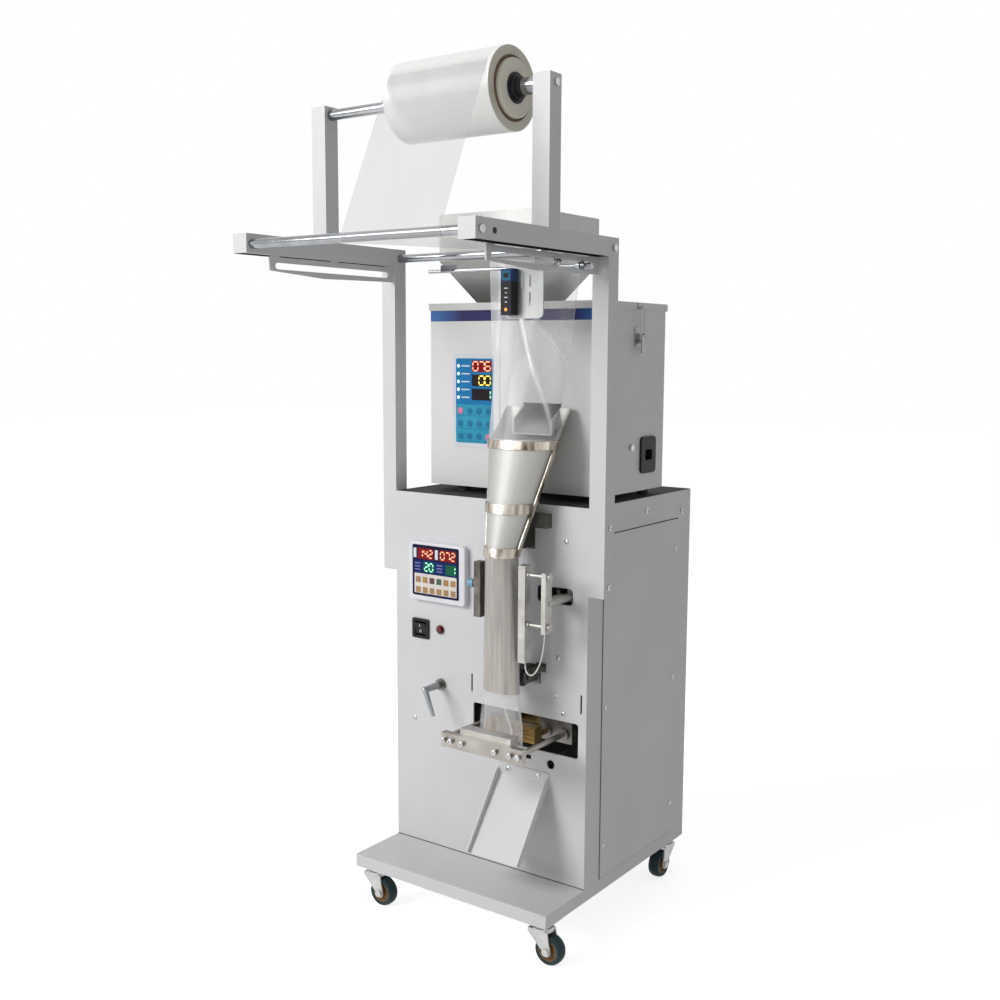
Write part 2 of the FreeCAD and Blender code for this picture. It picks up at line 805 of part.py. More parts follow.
def film_sleeve():
    """Film drawn round the funnel and the tube."""
    half_x, half_y = funnel_half(collar_height)
    collar = (collar_y, collar_height, half_x + film_gap, half_y + film_gap)
    neck = (former_y, funnel_bottom, former_radius + film_gap, former_radius + film_gap)
    end = (former_y, former_bottom, former_oval_x + film_gap, former_oval_y + film_gap)
    save("film_sleeve", fuse([film_tube(neck, collar), film_tube(end, neck)]))


def spout_height(y):
    """Height of the spout's floor at a Y."""
    return spout_front_height + (y - spout_front) * math.tan(math.radians(spout_angle))


def former():
    """Forming funnel and tube with the open mouth under the weigher's spout."""
    wall = former_wall
    cone = funnel_solid(funnel_bottom, collar_height, 0.0).cut(
        Part.makeLoft([funnel_wire(funnel_bottom, -wall), funnel_wire(collar_height, -wall)], True, True))
    tube = tube_solid(former_bottom, funnel_bottom, 0.0).cut(tube_solid(former_bottom, funnel_bottom, -wall))

    def mouth_wire(inset):
        corner = 14.0
        block = box(process_x - mouth_half_x + inset, process_x + mouth_half_x - inset,
                    mouth_front + inset, mouth_rear - inset, mouth_top - 1, mouth_top)
        edges = [e for e in block.Edges if abs(e.tangentAt(e.FirstParameter).z) > 0.9]
        rounded = block.makeFillet(corner - inset, edges)
        top = [f for f in rounded.Faces if f.normalAt(0, 0).z > 0.9][0]
        return top.OuterWire

    def mouth_solid(inset):
        low = funnel_wire(collar_height, -inset)
        return Part.makeLoft([low, mouth_wire(inset)], True, True)

    mouth = mouth_solid(0.0).cut(mouth_solid(wall))
    lip_z = collar_height + 2
    front_open = yz_plate([(front_y - 80, lip_z), (mouth_rear - 6 - mouth_front_cut, lip_z), (mouth_rear - 6, mouth_top),
                           (mouth_rear - 6, mouth_top + 5), (front_y - 80, mouth_top + 5)],
                          process_x - mouth_half_x - 5, process_x + mouth_half_x + 5)
    clear = 0.6
    spout_low = spout_height(mouth_rear - 10) - 2 * spout_wall - clear
    spout_gap = box(process_x - spout_half_x - clear, process_x + spout_half_x + clear, mouth_rear - 10,
                    mouth_rear + 5, spout_low, mouth_top + 1)
    mouth = mouth.cut(front_open).cut(spout_gap)
    save("former_funnel", fuse([cone, mouth]))
    save("former_tube", tube)


def former_hoops():
    """Hoops round the film, cut as bands from one fitted shell and joined by side straps."""
    inner = film_gap + film_thickness + hoop_gap
    outer = inner + hoop_thickness
    heights = (low_hoop_height, mid_hoop_height, top_hoop_height)
    foot = min(min(heights), funnel_bottom - 1)
    shell = funnel_solid(funnel_bottom, collar_height, outer).fuse(tube_solid(foot, funnel_bottom, outer))
    shell = shell.cut(funnel_solid(funnel_bottom, collar_height, inner))
    shell = shell.cut(tube_solid(foot, funnel_bottom, inner))
    reach = 2 * collar_half_x
    bands = [box(process_x - reach, process_x + reach, former_y - reach, former_y + reach, z,
                 min(z + hoop_band, collar_height)) for z in heights]
    rings = [shell.common(fuse(bands))]
    straps = []
    for side in (-1, 1):
        wires = []
        for z in (funnel_bottom, collar_height):
            half_x = funnel_half(z)[0]
            x0 = process_x + side * (half_x + inner + 0.4)
            x1 = process_x + side * (half_x + outer + 1.2)
            y = funnel_middle(z)
            corners = [FreeCAD.Vector(x0, y - strap_width / 2, z), FreeCAD.Vector(x1, y - strap_width / 2, z),
                       FreeCAD.Vector(x1, y + strap_width / 2, z), FreeCAD.Vector(x0, y + strap_width / 2, z)]
            wires.append(Part.makePolygon(corners + corners[:1]))
        straps.append(Part.makeLoft(wires, True, True))
    return fuse(rings + straps)


def former_bracket():
    """Gusset, foot and clamp block that carry the hoops on the front panel."""
    low_z = low_hoop_height + 5
    high_z = mid_hoop_height + hoop_band - 3
    inner = film_gap + film_thickness + hoop_gap
    outer = inner + hoop_thickness

    def cone_rear(z):
        return funnel_middle(z) + funnel_half(z)[1] + inner

    gusset = yz_plate([(front_y, low_z), (cone_rear(low_z), low_z), (cone_rear(high_z), high_z),
                       (front_y, high_z)], process_x - gusset_half, process_x + gusset_half)
    foot = box(process_x - gusset_foot_half, process_x + gusset_foot_half, front_y - 3, front_y, low_z, high_z)
    block_top = mid_hoop_height - 4
    block = box(process_x + clamp_block_left, process_x + clamp_block_right, front_y - clamp_block_depth,
                front_y, block_top - clamp_block_height, block_top)
    bracket = fuse([gusset, foot, block]).cut(funnel_solid(funnel_bottom, collar_height, outer))
    return bracket


def weigher_body():
    """Sheet housing of the weigher, open at the top and at the spout."""
    outer = box(weigher_left, weigher_right, weigher_front, weigher_rear, weigher_bottom, lid_top - sheet)
    edges = [e for e in outer.Edges if abs(e.tangentAt(e.FirstParameter).z) > 0.9]
    outer = outer.makeFillet(3.0, edges)
    inner = box(weigher_left + cover_sheet, weigher_right - cover_sheet, weigher_front + cover_sheet,
                weigher_rear - cover_sheet, weigher_bottom + cover_sheet, lid_top)
    shell = outer.cut(inner)
    floor_at_wall = spout_height(weigher_front)
    opening = box(process_x - spout_half_x - 0.3, process_x + spout_half_x + 0.3, weigher_front - 1,
                  weigher_front + cover_sheet + 1, floor_at_wall - 6, floor_at_wall + spout_side + 6)
    shell = shell.cut(opening)
    clear = 0.3
    inlet = box(weigher_right - cover_sheet - 1, weigher_right + 1, inlet_y - inlet_body_half_y - clear,
                inlet_y + inlet_body_half_y + clear, inlet_z - inlet_body_half_z - clear,
                inlet_z + inlet_body_half_z + clear)
    save("weigher_body", shell.cut(inlet))
    feet = []
    for x in (weigher_left + feet_inset + 30, weigher_right - feet_inset):
        for y in (weigher_front + feet_inset, weigher_rear - feet_inset):
            feet.append(rod_z(cabinet_top, weigher_bottom, x, y, feet_radius))
    save("weigher_feet", feet)


def hopper_slope(z):
    """Half size of the hopper's pyramid at a height."""
    share = (z - hopper_throat) / (hopper_hip - hopper_throat)
    return hopper_outlet_half + share * (hopper_half - hopper_outlet_half)


def square_wire(x, y, z, half):
    """Closed horizontal square."""
    corners = [FreeCAD.Vector(x - half, y - half, z), FreeCAD.Vector(x + half, y - half, z),
               FreeCAD.Vector(x + half, y + half, z), FreeCAD.Vector(x - half, y + half, z)]
    return Part.makePolygon(corners + corners[:1])


def lid_and_hopper():
    """Lid with its folded edge, and the square hopper welded through it on a flange."""
    edge = cover_sheet + lid_gap
    outer = box(weigher_left - edge, weigher_right + edge, weigher_front - edge, weigher_rear + edge,
                lid_bottom, lid_top)
    inner = box(weigher_left - lid_gap, weigher_right + lid_gap, weigher_front - lid_gap, weigher_rear + lid_gap,
                lid_bottom - 1, lid_top - sheet)
    lid = outer.cut(inner)
    hole_half = hopper_slope(lid_top) + 2.0
    hole = box(hopper_x - hole_half, hopper_x + hole_half, weigher_mid_y - hole_half, weigher_mid_y + hole_half,
               lid_bottom - 1, lid_top + 1)
    save("weigher_lid", lid.cut(hole))
    wall = cover_sheet

    def layer(inset):
        rim = Part.makeLoft([square_wire(hopper_x, weigher_mid_y, hopper_hip, hopper_half - inset),
                             square_wire(hopper_x, weigher_mid_y, hopper_rim, hopper_half - inset)], True, True)
        slope = Part.makeLoft([square_wire(hopper_x, weigher_mid_y, hopper_throat, hopper_outlet_half - inset),
                               square_wire(hopper_x, weigher_mid_y, hopper_hip, hopper_half - inset)],
                              True, True)
        neck = Part.makeLoft([square_wire(hopper_x, weigher_mid_y, hopper_outlet, hopper_outlet_half - inset),
                              square_wire(hopper_x, weigher_mid_y, hopper_throat, hopper_outlet_half - inset)],
                             True, True)
        return fuse([rim, slope, neck])

    flange_half = hopper_slope(lid_top) + hopper_flange
    flange = box(hopper_x - flange_half, hopper_x + flange_half, weigher_mid_y - flange_half,
                 weigher_mid_y + flange_half, lid_top, lid_top + sheet)
    hopper = fuse([layer(0.0), flange]).cut(layer(wall))
    save("hopper", hopper)


def weigher_inside():
    """Feeding pan and its vibrator, weigh bucket with flap on the load cell, and the outlet spout."""
    wall = spout_wall
    left = hopper_x - trough_left_reach
    right = process_x - bucket_half_x + 4
    shoulder = hopper_x + trough_shoulder_reach
    front = weigher_mid_y - trough_front_reach
    mouth = weigher_mid_y - trough_mouth_reach
    rear = weigher_mid_y + trough_rear_reach
    pan = [(left, front), (right, front), (right, mouth), (shoulder, rear), (left, rear)]
    outer = xy_plate(pan, trough_floor, trough_floor + trough_height)
    hollow = [(left + wall, front + wall), (right + 5, front + wall), (right + 5, mouth - 6.5),
              (right, mouth - 2), (shoulder - 0.7, rear - wall), (left + wall, rear - wall)]
    inner = xy_plate(hollow, trough_floor + wall, trough_floor + trough_height + 1)
    save("feeder_trough", outer.cut(inner))
    floor_z = weigher_bottom + cover_sheet
    post_top = trough_floor - feeder_post_drop
    post = box(hopper_x - 28, hopper_x + 32, weigher_mid_y - 44.5, weigher_mid_y + 15.5, floor_z, post_top)
    magnet = box(hopper_x - 18, hopper_x + 22, weigher_mid_y - 32.5, weigher_mid_y + 3.5, post_top,
                 trough_floor - feeder_magnet_drop)
    springs = []
    spring_y = weigher_mid_y - 39.5
    for x in (hopper_x - 20, hopper_x + 20):
        corners = [FreeCAD.Vector(x, spring_y, post_top - 1), FreeCAD.Vector(x + 3, spring_y, post_top - 1),
                   FreeCAD.Vector(x + 15, spring_y, trough_floor), FreeCAD.Vector(x + 12, spring_y, trough_floor)]
        face = Part.Face(Part.makePolygon(corners + corners[:1]))
        springs.append(face.extrude(FreeCAD.Vector(0, feeder_spring_width, 0)))
    save("feeder_drive", fuse([post, magnet] + springs))

    half = bucket_half_x
    bucket = box(process_x - half, process_x + half, bucket_front, bucket_rear, bucket_bottom, bucket_top)
    bucket = bucket.cut(box(process_x - half + wall, process_x + half - wall, bucket_front + wall,
                            bucket_rear - wall, bucket_bottom - 1, bucket_top + 1))
    ears = []
    for side in (-1, 1):
        x0, x1 = sorted((process_x + side * half, process_x + side * (half + 3)))
        ear = box(x0, x1, bucket_rear - 14, bucket_rear + 6, bucket_bottom - 6, bucket_bottom + 12)
        ears.append(ear.cut(rod_x(x0 - 1, x1 + 1, bucket_rear - 1, bucket_bottom - 3, 2.05)))
    bucket = fuse([bucket] + ears)
    cell_x = process_x + half
    cell_y = bucket_front + cell_setback
    cell_z = bucket_bottom + cell_rise
    arm = box(cell_x, cell_x + cell_length, cell_y, cell_y + cell_width, cell_z, cell_z + cell_width)
    for x in (cell_x + cell_length / 2 - 5, cell_x + cell_length / 2 + 5):
        arm = arm.cut(rod_y(cell_y - 1, cell_y + cell_width + 1, x, cell_z + cell_width / 2, 4.5))
    stand = box(cell_x + cell_length - 20, cell_x + cell_length + 2, cell_y - 6, cell_y + cell_width + 6,
                floor_z, cell_z)
    save("weigh_bucket", [bucket, fuse([arm, stand])])

    pivot_y = bucket_rear - 1
    pivot_z = bucket_bottom - 3
    flap = box(process_x - half + 0.5, process_x + half - 0.5, bucket_front, bucket_rear - 4,
               bucket_bottom - 2.6, bucket_bottom - 0.8)
    knuckle = rod_x(process_x - half + 0.5, process_x + half - 0.5, pivot_y, pivot_z, 2.4)
    web = box(process_x - half + 0.5, process_x + half - 0.5, bucket_rear - 6, bucket_rear - 1,
              bucket_bottom - 3.6, bucket_bottom - 0.8)
    pin = rod_x(process_x - half - 3.5, process_x + half + 3.5, pivot_y, pivot_z, 2.0)
    save("bucket_flap", fuse([flap, web, knuckle, pin]))

    drop = spout_wall / math.cos(math.radians(spout_angle))
    y0 = spout_front
    y1 = spout_rear
    z0 = spout_front_height
    z1 = spout_height(y1)
    top = spout_side
    outer = yz_plate([(y0, z0 - drop), (y1, z1 - drop), (y1, z1 + top - 18), (y1 - 30, spout_height(y1 - 30) + top),
                      (y0, z0 + top)], process_x - spout_half_x, process_x + spout_half_x)
    inner = yz_plate([(y0 - 5, spout_height(y0 - 5)), (y1 + 5, spout_height(y1 + 5)),
                      (y1 + 5, z1 + 60), (y0 - 5, z1 + 60)],
                     process_x - spout_half_x + spout_wall, process_x + spout_half_x - spout_wall)
    spout = outer.cut(inner)
    back_face = weigher_front + cover_sheet
    flange = box(process_x - spout_half_x - 10, process_x + spout_half_x + 10, back_face, back_face + 1.5,
                 spout_height(weigher_front) - 16, spout_height(weigher_front) + spout_side + 4)
    flange = flange.cut(inner)
    save("weigher_spout", fuse([spout, flange]).cut(inner))


def weigher_fittings():
    """Keypad, power inlet and the two toggle latches that hold the lid down."""
    keypad_bottom = weigher_bottom + keypad_rise
    keypad = slot_y(keypad_left, keypad_left + keypad_width, keypad_bottom, keypad_bottom + keypad_height,
                    weigher_front - keypad_thickness, weigher_front, 5.0)
    save("weigher_keypad", keypad)
    y = inlet_y
    z = inlet_z
    flange = slot_x(y - 25, y + 25, z - 31, z + 31, weigher_right, weigher_right + 4, 8.0)
    body = box(weigher_right - 22, weigher_right + 1, y - inlet_body_half_y, y + inlet_body_half_y,
               z - inlet_body_half_z, z + inlet_body_half_z)
    pocket = slot_x(y - 12, y + 12, z - 9, z + 9, weigher_right - 14, weigher_right + 5, 4.0)
    inlet = fuse([flange, body]).cut(pocket)
    pins = []
    for offset_y, offset_z in ((-6.5, -2.0), (0.0, 3.0), (6.5, -2.0)):
        pins.append(box(weigher_right - 15, weigher_right - 2, y + offset_y - 2, y + offset_y + 2,
                        z + offset_z - 1, z + offset_z + 1))
    save("power_inlet", fuse([inlet] + pins))

    latch_y = weigher_front + latch_setback
    pivot_z = lid_bottom - latch_drop
    loop_z = pivot_z - latch_throw
    hook_z = lid_bottom + 4.0
    bases = []
    for side, face in ((-1, weigher_left), (1, weigher_right)):
        pin_x = face + side * latch_standoff
        loop_standoff = latch_standoff + latch_offset
        loop_x = face + side * loop_standoff

        def across(near, far):
            return sorted((face + side * near, face + side * far))

        x0, x1 = across(0.0, cover_sheet)
        plate = box(x0, x1, latch_y - 11, latch_y + 11, pivot_z - 16, pivot_z + 16)
        ears = []
        e0, e1 = across(0.5, latch_standoff + 3.5)
        for ear_y in (latch_y - 9.7, latch_y + 8.2):
            ear = box(e0, e1, ear_y, ear_y + 1.5, pivot_z - 4, pivot_z + 5)
            ears.append(ear.cut(rod_y(ear_y - 1, ear_y + 3, pin_x, pivot_z, latch_pin + running_gap)))
        bases.append(fuse([plate] + ears))
        lid_face = cover_sheet + lid_gap
        h0, h1 = across(lid_face, lid_face + 1.5)
        back = box(h0, h1, latch_y - 5, latch_y + 5, lid_bottom + 1.5, lid_top - 1)
        h0, h1 = across(lid_face + 1, loop_standoff + 2.6)
        shelf = box(h0, h1, latch_y - 5, latch_y + 5, hook_z - 1.5, hook_z)
        h0, h1 = across(loop_standoff + 1.6, loop_standoff + 2.6)
        lip = box(h0, h1, latch_y - 5, latch_y + 5, hook_z - 1.5, hook_z + 1.5)
        bases.append(fuse([back, shelf, lip]))

        l0, l1 = across(latch_standoff - 2.5, latch_standoff + 4.5)
        lever = box(l0, l1, latch_y - 5.2, latch_y + 5.2, loop_z - 4, pivot_z + 3)
        b0, b1 = across(latch_standoff - 3.5, latch_standoff + 2.6)
        lever = lever.cut(box(b0, b1, latch_y - 3.7, latch_y + 3.7, loop_z - 6, pivot_z + 4))
        t0, t1 = across(latch_standoff + 2.6, latch_standoff + 4.5)
        tail = box(t0, t1, latch_y - 5.2, latch_y + 5.2, loop_z - 20, loop_z - 3)
        pin = rod_y(latch_y - 9.9, latch_y + 9.9, pin_x, pivot_z, latch_pin)
        lever = fuse([lever, tail, pin]).cut(rod_y(latch_y - 12, latch_y + 12, loop_x, loop_z,
                                                   loop_radius + running_gap))
        name = "left" if side < 0 else "right"
        save("latch_lever_" + name, lever)
        top_z = hook_z + loop_radius + 0.2
        sides = []
        for wire_y in (latch_y - loop_half, latch_y + loop_half):
            sides.append(rod_z(loop_z, top_z, loop_x, wire_y, 0.8 * loop_radius))
        end = loop_half + 1.3 * loop_radius
        rungs = [rod_y(latch_y - end, latch_y + end, loop_x, top_z, loop_radius)]
        rungs.append(rod_y(latch_y - end, latch_y + end, loop_x, loop_z, loop_radius))
        save("latch_loop_" + name, fuse(sides + rungs))
    save("latch_bases", bases)


def controls():
    """Control panel, rocker switch, pilot lamp and the chrome release lever."""
    bezel = slot_y(control_left, control_left + control_width, control_bottom, control_bottom + control_height,
                   front_y - control_depth, front_y, control_corner)
    rim = [e for e in bezel.Edges if abs(e.CenterOfMass.y - (front_y - control_depth)) < 0.01]
    bezel = bezel.makeFillet(3.0, rim)
    pocket = slot_y(control_left + 8, control_left + control_width - 13, control_bottom + 9,
                    control_bottom + control_height - 5, front_y - control_depth - 1,
                    front_y - control_depth + 0.8, 3.0)
    save("control_panel", bezel.cut(pocket))

    half_x = switch_width / 2
    half_z = switch_height / 2
    housing = slot_y(switch_x - half_x, switch_x + half_x, switch_z - half_z, switch_z + half_z,
                     front_y - 3, front_y, 2.0)
    tub = box(switch_x - half_x + 3.3, switch_x + half_x - 3.3, front_y, front_y + 24,
              switch_z - half_z + 3.3, switch_z + half_z - 3.3)
    well = box(switch_x - half_x + 6, switch_x + half_x - 6, front_y - 4, front_y + 18,
               switch_z - half_z + 4.8, switch_z + half_z - 4.8)
    shell = fuse([housing, tub]).cut(well)
    for side in (-1, 1):
        x0, x1 = sorted((switch_x + side * (half_x - 6), switch_x + side * (half_x - 5.0)))
        shell = shell.cut(rod_x(x0 - 0.01, x1, front_y + 5, switch_z, 1.55))
    save("switch_housing", shell)
    width = half_x - 6.4
    tall = half_z - 7.4
    button = yz_plate([(front_y - 5.2, switch_z + tall), (front_y - 2.2, switch_z),
                       (front_y - 1.4, switch_z - tall), (front_y + 8, switch_z - tall * 0.6),
                       (front_y + 8, switch_z + tall * 0.6)], switch_x - width, switch_x + width)
    pin = rod_x(switch_x - half_x + 5.2, switch_x + half_x - 5.2, front_y + 5, switch_z, 1.5)
    save("rocker", fuse([button, pin]))

    collar = rod_y(front_y - 2.5, front_y, lamp_x, lamp_z, lamp_radius)
    lens = rod_y(front_y - 7.0, front_y - 2.4, lamp_x, lamp_z, lamp_radius - 2)
    dome = [e for e in lens.Edges if e.Closed and abs(e.CenterOfMass.y - (front_y - 7.0)) < 0.01]
    lens = lens.makeFillet(3.0, dome)
    stem = rod_y(front_y - 0.1, front_y + 20, lamp_x, lamp_z, lamp_radius - 2.4)
    save("pilot_lamp", fuse([collar, lens, stem]))

    boss = rod_y(front_y - lever_boss_depth, front_y + panel_sheet + 6, lever_x, lever_z, 5.95)
    flange = rod_y(front_y - 5, front_y, lever_x, lever_z, 10.0)
    bore = rod_y(front_y - lever_boss_depth - 1, front_y + panel_sheet + 7, lever_x, lever_z, 4.0 + running_gap)
    washer = fuse([boss, flange]).cut(bore)
    elbow_y = front_y - lever_reach
    elbow = FreeCAD.Vector(lever_x, elbow_y, lever_z)
    stem = rod_y(elbow_y, front_y + panel_sheet + 6.3, lever_x, lever_z, 4.0)
    inner_stop = rod_y(front_y + panel_sheet + 6.3, front_y + panel_sheet + 11, lever_x, lever_z, 8.0)
    barrel = Part.makeCone(5.2, 6.5, lever_reach - lever_boss_depth - 0.3, elbow, FreeCAD.Vector(0, 1, 0))
    knuckle = Part.makeSphere(5.6, elbow)
    grip_axis = FreeCAD.Vector(18, 0, -44)
    grip = Part.makeCone(5.0, 3.6, grip_axis.Length, elbow, grip_axis)
    save("release_lever", fuse([stem, inner_stop, barrel, knuckle, grip]))
    return washer


def vertical_seal():
    """Moving heated bar on its arm, and the fixed counter bar on the other side of the sleeve."""
    y0 = former_y - seal_bar_depth / 2
    y1 = former_y + seal_bar_depth / 2
    reach = former_radius + 2.5 + seal_gap
    face = process_x + reach
    heater = box(face, face + heater_thickness, y0, y1, seal_bar_bottom, seal_bar_bottom + seal_bar_height)
    insulator = box(face + heater_thickness, face + heater_thickness + insulator_thickness, y0, y1,
                    seal_bar_bottom, seal_bar_bottom + seal_bar_height)
    edge_x = face + heater_thickness + insulator_thickness
    plate_x = process_x + seal_plate_x - seal_plate_thickness / 2
    plate = box(plate_x, plate_x + seal_plate_thickness, y0 - 1, y1 + 1, seal_arm_z - 47, seal_arm_z + 50)
    rods = []
    for z in (seal_arm_z - 37, seal_arm_z + 43):
        rods.append(rod_x(edge_x - 4, plate_x + 1, former_y, z, seal_rod_radius))
        rods.append(rod_x(plate_x + seal_plate_thickness - 1, plate_x + seal_plate_thickness + 4, former_y, z, 6.0))
        rods.append(rod_x(edge_x - 0.5, edge_x + 4, former_y, z, 5.0))
    arm_x = process_x + seal_plate_x
    guide_y = front_y + panel_sheet + seal_guide_setback
    arm = rod_y(former_y, guide_y - 7, arm_x, seal_arm_z, seal_arm_radius)
    carriage = box(arm_x - 12, arm_x + 12, guide_y - 10, guide_y + 10, seal_arm_z - 10, seal_arm_z + 10)
    carriage = carriage.cut(rod_x(arm_x - 13, arm_x + 13, guide_y, seal_arm_z, seal_guide_radius + rod_guide_gap))
    boss = slot_y(process_x + seal_plate_x - 18, process_x + seal_plate_x + 5, seal_arm_z - 5, seal_arm_z + 5,
                  former_y + seal_bar_depth / 2 + 8, front_y - 4, 4.9)
    save("seal_bar_right", [fuse([heater, insulator]), fuse([plate, arm, boss, carriage] + rods).cut(insulator)])

    face = process_x - reach
    heater = box(face - heater_thickness, face, y0, y1, fixed_bar_bottom, fixed_bar_bottom + fixed_bar_height)
    back = box(face - heater_thickness - insulator_thickness, face - heater_thickness, y0, y1,
               fixed_bar_bottom, fixed_bar_bottom + fixed_bar_height)
    middle_x = face - heater_thickness - insulator_thickness / 2
    arm = rod_y(y1 - 2, front_y, middle_x, fixed_bar_bottom + fixed_bar_height / 2, 5.0)
    foot = rod_y(front_y - 4, front_y, middle_x, fixed_bar_bottom + fixed_bar_height / 2, 10.0)
    plug = rod_x(middle_x - 4 - 14, middle_x, former_y, fixed_bar_bottom + fixed_bar_height / 2 + 8, 5.5)
    caps = []
    for z in (fixed_bar_bottom + 6, fixed_bar_bottom + fixed_bar_height - 6):
        caps.append(rod_x(middle_x - 7, middle_x, former_y, z, 3.5))
    save("seal_bar_left", fuse([heater, back, arm, foot, plug] + caps))


def smooth_route(points):
    """Tube path of straight runs and tangent arcs through hand-set points."""
    points = [FreeCAD.Vector(*p) for p in points]
    edges = []
    radii = []
    start = points[0]
    for index in range(1, len(points) - 1):
        before = points[index] - points[index - 1]
        after = points[index + 1] - points[index]
        shorter = min(before.Length, after.Length)
        turn = before.getAngle(after)
        trim = 0.45 * shorter
        radii.append(trim / math.tan(turn / 2))
        enter = points[index] - FreeCAD.Vector(before).normalize() * trim
        leave = points[index] + FreeCAD.Vector(after).normalize() * trim
        inward = FreeCAD.Vector(after).normalize() - FreeCAD.Vector(before).normalize()
        inward.normalize()
        radius = radii[-1]
        centre = points[index] + inward * (radius / math.cos(turn / 2))
        middle = centre - inward * radius
        if (enter - start).Length > 1e-6:
            edges.append(Part.LineSegment(start, enter).toShape())
        edges.append(Part.Arc(enter, middle, leave).toShape())
        start = leave
    edges.append(Part.LineSegment(start, points[-1]).toShape())
    print("cord radii", [round(r, 1) for r in radii])
    return Part.Wire(edges)


def seal_wire():
    """Heater lead that loops from the seal bar's foot back up to its plate."""
    wire_radius = 1.1
    x0 = process_x + former_radius + 2.5 + seal_gap + heater_thickness + insulator_thickness / 2
    plate_x = process_x + seal_plate_x
    foot = seal_arm_z - 47
    route = [(x0, former_y, seal_bar_bottom), (x0, former_y, seal_bar_bottom - 9),
             (x0 + 5, former_y - 2, seal_bar_bottom - 17), (x0 + 14, former_y - 3, seal_bar_bottom - 20),
             (x0 + 24, former_y - 3, seal_bar_bottom - 11), (plate_x - 7, former_y - 2, seal_bar_bottom + 8),
             (plate_x - 2, former_y - 1, foot - 14), (plate_x - 2, former_y - 1, foot)]
    path = smooth_route(route)
    start = route[0]
    direction = path.Edges[0].tangentAt(path.Edges[0].FirstParameter)
    circle = Part.Wire([Part.makeCircle(wire_radius, FreeCAD.Vector(*start), direction)])
    tube = path.makePipeShell([circle], True, False)
    print("cord volume", round(tube.Volume, 1), "section times length",
          round(math.pi * wire_radius ** 2 * path.Length, 1))
    save("seal_wire", tube)


def jaws():
    """Front jaw on its cross plate and pull rods, and the rear jaw on its push rods."""
    y0 = front_y - jaw_plate_front
    y1 = y0 + jaw_plate_thickness
    plate = box(process_x - jaw_plate_half, process_x + jaw_plate_half, y0, y1, jaw_plate_bottom,
                jaw_plate_bottom + jaw_plate_height)
    rods = []
    rod_end = front_y + panel_sheet + front_yoke_reach
    for side in (-1, 1):
        rods.append(rod_y(y1 - 1, rod_end, process_x + side * jaw_rod_spread, jaw_rod_z, jaw_rod_radius))
    yoke_half = jaw_rod_spread + 9
    yoke = box(process_x - yoke_half, process_x + yoke_half, rod_end - 10, rod_end, jaw_rod_z - 9, jaw_rod_z + 9)
    bolts = []
    for share in (-0.92, -0.74, -0.46, 0.36, 0.72, 0.92):
        bolts.append(rod_y(y0 - 4, y0 + 1, process_x + share * jaw_plate_half,
                           jaw_plate_bottom + jaw_plate_height / 2, 4.0))
    save("front_jaw_plate", fuse([plate, yoke] + rods + bolts))
    block = box(process_x - jaw_block_half, process_x + jaw_block_half, y1, y1 + jaw_block_depth,
                jaw_block_bottom, jaw_block_bottom + jaw_block_height)
    for z in (jaw_block_bottom + 7, jaw_block_bottom + 13, jaw_block_bottom + 19):
        groove = yz_plate([(y1 + jaw_block_depth + 1, z - 2), (y1 + jaw_block_depth - 1.2, z),
                           (y1 + jaw_block_depth + 1, z + 2)], process_x - jaw_block_half - 1,
                          process_x + jaw_block_half + 1)
        block = block.cut(groove)
    save("front_jaw_block", block)
    rear_front = front_y - rear_jaw_setback
    rear = box(process_x - jaw_block_half, process_x + jaw_block_half, rear_front, rear_front + jaw_block_depth,
               jaw_block_bottom, jaw_block_bottom + jaw_block_height)
    for z in (jaw_block_bottom + 7, jaw_block_bottom + 13, jaw_block_bottom + 19):
        groove = yz_plate([(rear_front - 1, z - 2), (rear_front + 1.2, z), (rear_front - 1, z + 2)],
                          process_x - jaw_block_half - 1, process_x + jaw_block_half + 1)
        rear = rear.cut(groove)
    rear_end = front_y + panel_sheet + rear_yoke_reach
    half = rear_rod_spread + 9
    rear_rods = [box(process_x - half, process_x + half, rear_end - 8, rear_end, jaw_rod_z - 9, jaw_rod_z + 9)]
    for side in (-1, 1):
        rear_rods.append(rod_y(rear_front + jaw_block_depth - 1, rear_end,
                               process_x + side * rear_rod_spread, jaw_rod_z, jaw_rod_radius))
    save("rear_jaw_block", fuse([rear] + rear_rods))


